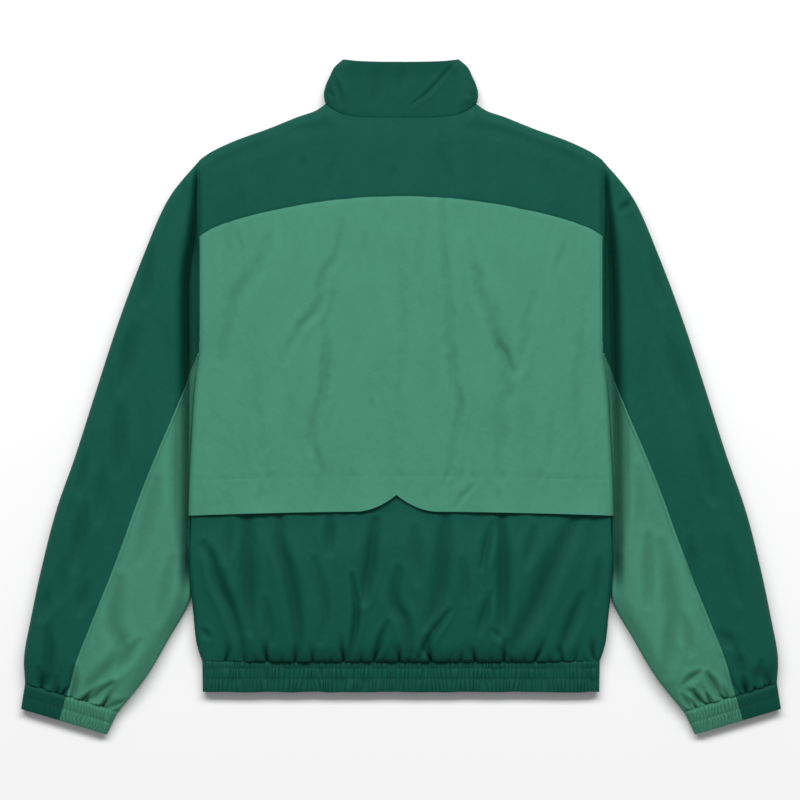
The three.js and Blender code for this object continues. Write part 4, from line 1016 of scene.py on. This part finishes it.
def cuff_surface(q, drop, dark, side):
    """A point of a cuff's half of its flattened ring, how far its shirring stands out there and its painted shade.
    Ribs are the size of a sine whose phase wanders, flattened by the row of stitching in the middle."""
    corner = lambda ends, axis: mix(ends[0][axis], ends[1][axis], drop)
    outer = corner(CUFF_OUTER, 0), corner(CUFF_OUTER, 1)
    inner = corner(CUFF_INNER, 0), corner(CUFF_INNER, 1)
    width = np.hypot(inner[0] - outer[0], inner[1] - outer[1])
    own = (CUFF_SEAM if dark else 1 - CUFF_SEAM) * width - 0.1
    inside = tube_inside(q, own, CUFF_ROUND, CUFF_ROUND)
    from_outer = inside if dark else width - inside
    share = from_outer / width
    x, y = mix(outer[0], inner[0], share), mix(outer[1], inner[1], share)
    high = mix(CUFF_TOP_Z, CUFF_END_Z, drop) - seam_dip(drop * 29, 2.4, 1.6)
    z = mix(CUFF_FOLD_Z, np.where(q >= 0, high, CUFF_WALL / 2), round_up(inside / CUFF_ROUND))
    phase = from_outer / CUFF_RIB * math.pi + 2.2 * noise(from_outer, drop * 29, 7, 9, 41 + side)
    puff = np.abs(np.sin(math.pi * np.clip(drop * 2, 0, 2))) ** 0.45
    rib = np.abs(np.sin(phase)) ** 0.8
    shirr = rib * (0.8 + 0.4 * noise(from_outer, drop * 29, 6, 8, 44 + side))
    upper = np.where(q >= 0, smooth(inside / 4), 0)
    # Painted shade: the cuff's colour darkened evenly and more between its ribs
    height, shade, between = CUFF_SHIRRING["dark" if dark else "light"]
    relief = (0.3 + height * shirr) * puff * upper
    return side * x, y, z, relief, shade + between * (1 - rib) * upper


def tube_steps(down, turn, up):
    """Places round half of a flattened tube: -1 on its lower layer, 0 on its fold and 1 on its upper layer."""
    return np.concatenate([
        np.linspace(-1, -TURN_SHARE, down), np.linspace(-TURN_SHARE, 0, turn)[1:],
        np.linspace(0, TURN_SHARE, turn)[1:], np.linspace(TURN_SHARE, 1, up)[1:],
    ])


for side, side_name in ((-1, "left"), (1, "right")):
    for dark in (True, False):
        panel = "dark" if dark else "light"
        slot_name = f"{panel}_green_nylon"
        t_steps = np.concatenate([
            [0, 0.0015], np.linspace(0.004, 0.1, 26), np.linspace(0.1, 0.86, 108)[1:], np.linspace(0.86, 1, 44)[1:],
        ])
        q, t = grid(tube_steps(10, 7, 118 if dark else 78), t_steps)
        x, y, z, fold = sleeve_surface(q, t, dark, side)
        points = np.stack([x, y, z], -1)
        piece, area = shell(f"sleeve_{side_name}_{panel}_cloth", points, CLOTH, slot_name, fold=fold)
        sheet(f"sleeve_{side_name}_{panel}")
        q, drop = grid(tube_steps(8, 6, 90), np.linspace(0, 1, 21))
        x, y, z, relief, fold = cuff_surface(q, drop, dark, side)
        points = np.stack([x, y, z], -1)
        piece, area = shell(f"cuff_{side_name}_{panel}_cloth", points, CUFF_WALL, slot_name, relief - 0.1, fold=fold)
        q = np.linspace(0.2, 0.98, 120)
        line = cuff_surface(q, np.full_like(q, 0.5), dark, side)
        row = stitches(
            f"cuff_{side_name}_{panel}_stitches", np.stack([*line[:2], line[2] + CUFF_WALL / 2 - 0.1], -1), 2.4,
            f"thread_{panel}",
        )
        sheet(f"cuff_{side_name}_{panel}")

# Zip: the tape, the slider and the pull tab keep their solids, and moulded teeth lie under the chain
TOOTH = {"pitch": 1.5, "long": 1.0, "reach": 2.7, "past": 0.5, "deep": 0.5, "low_y": -301, "high_y": 316}
marks = np.arange(TOOTH["low_y"], TOOTH["high_y"], TOOTH["pitch"])
hand = np.where(np.arange(len(marks)) % 2, 1, -1)
teeth = np.zeros((len(marks), 8, 3))
for k in range(8):
    across, ahead, up = k & 1, (k >> 1) & 1, k >> 2
    teeth[:, k, 0] = hand * (TOOTH["reach"] if across else -TOOTH["past"])
    teeth[:, k, 1] = marks + ahead * TOOTH["long"]
    teeth[:, k, 2] = zip_lift(0 * marks, teeth[:, k, 1]) + 0.02 + up * TOOTH["deep"]
one = np.array([(0, 2, 3, 1), (4, 5, 7, 6), (0, 1, 5, 4), (2, 6, 7, 3), (0, 4, 6, 2), (1, 3, 7, 5)])
flipped = np.where((hand > 0)[:, None, None], one[None], one[None, :, ::-1])
faces = (np.arange(len(marks))[:, None, None] * 8 + flipped).reshape(-1, 4)
add_mesh("zip_teeth", teeth.reshape(-1, 3), faces, "zip_teeth")
for node, slot_name in (("zip", "zip_tape"), ("zip_slider", "zip_metal"), ("zip_pull", "zip_metal")):
    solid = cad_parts[node]
    solid.data.materials.clear()
    solid.data.materials.append(MATERIALS[slot_name])

# Floor, light and camera
FRAME_WIDTH = 0.92
CAMERA_HEIGHT = 6.0
bpy.ops.mesh.primitive_plane_add(size=30, location=(0, 0, -0.0004))
floor = bpy.context.object
floor.name = "floor"
floor_material = bpy.data.materials.new("floor")
floor_material.use_nodes = True
socket(floor_material.node_tree.nodes["Principled BSDF"], "Base Color", (0.93, 0.93, 0.93, 1))
socket(floor_material.node_tree.nodes["Principled BSDF"], "Roughness", 0.9)
floor.data.materials.append(floor_material)

world = bpy.data.worlds.new("studio")
bpy.context.scene.world = world
world.use_nodes = True
world.node_tree.nodes["Background"].inputs["Color"].default_value = (1, 1, 1, 1)
world.node_tree.nodes["Background"].inputs["Strength"].default_value = 0.31

key_data = bpy.data.lights.new("key", "AREA")
key_data.shape = "RECTANGLE"
key_data.size = 7.5
key_data.size_y = 1.4
key_data.energy = 300
key = bpy.data.objects.new("key", key_data)
key.location = (0, 3.0, 3.4)
key.rotation_euler = (-key.location).to_track_quat("-Z", "Y").to_euler()
bpy.context.scene.collection.objects.link(key)

camera_data = bpy.data.cameras.new("camera")
camera_data.sensor_width = 36
camera_data.lens = 36 * CAMERA_HEIGHT / FRAME_WIDTH
camera = bpy.data.objects.new("camera", camera_data)
camera.location = (-1.15 * MM, (-3.6 + CENTRE_Y) * MM, CAMERA_HEIGHT)
bpy.context.scene.collection.objects.link(camera)
bpy.context.scene.camera = camera
bpy.context.scene.view_settings.view_transform = "Standard"
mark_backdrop(floor, key)

end_box = [list(corner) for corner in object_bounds()]
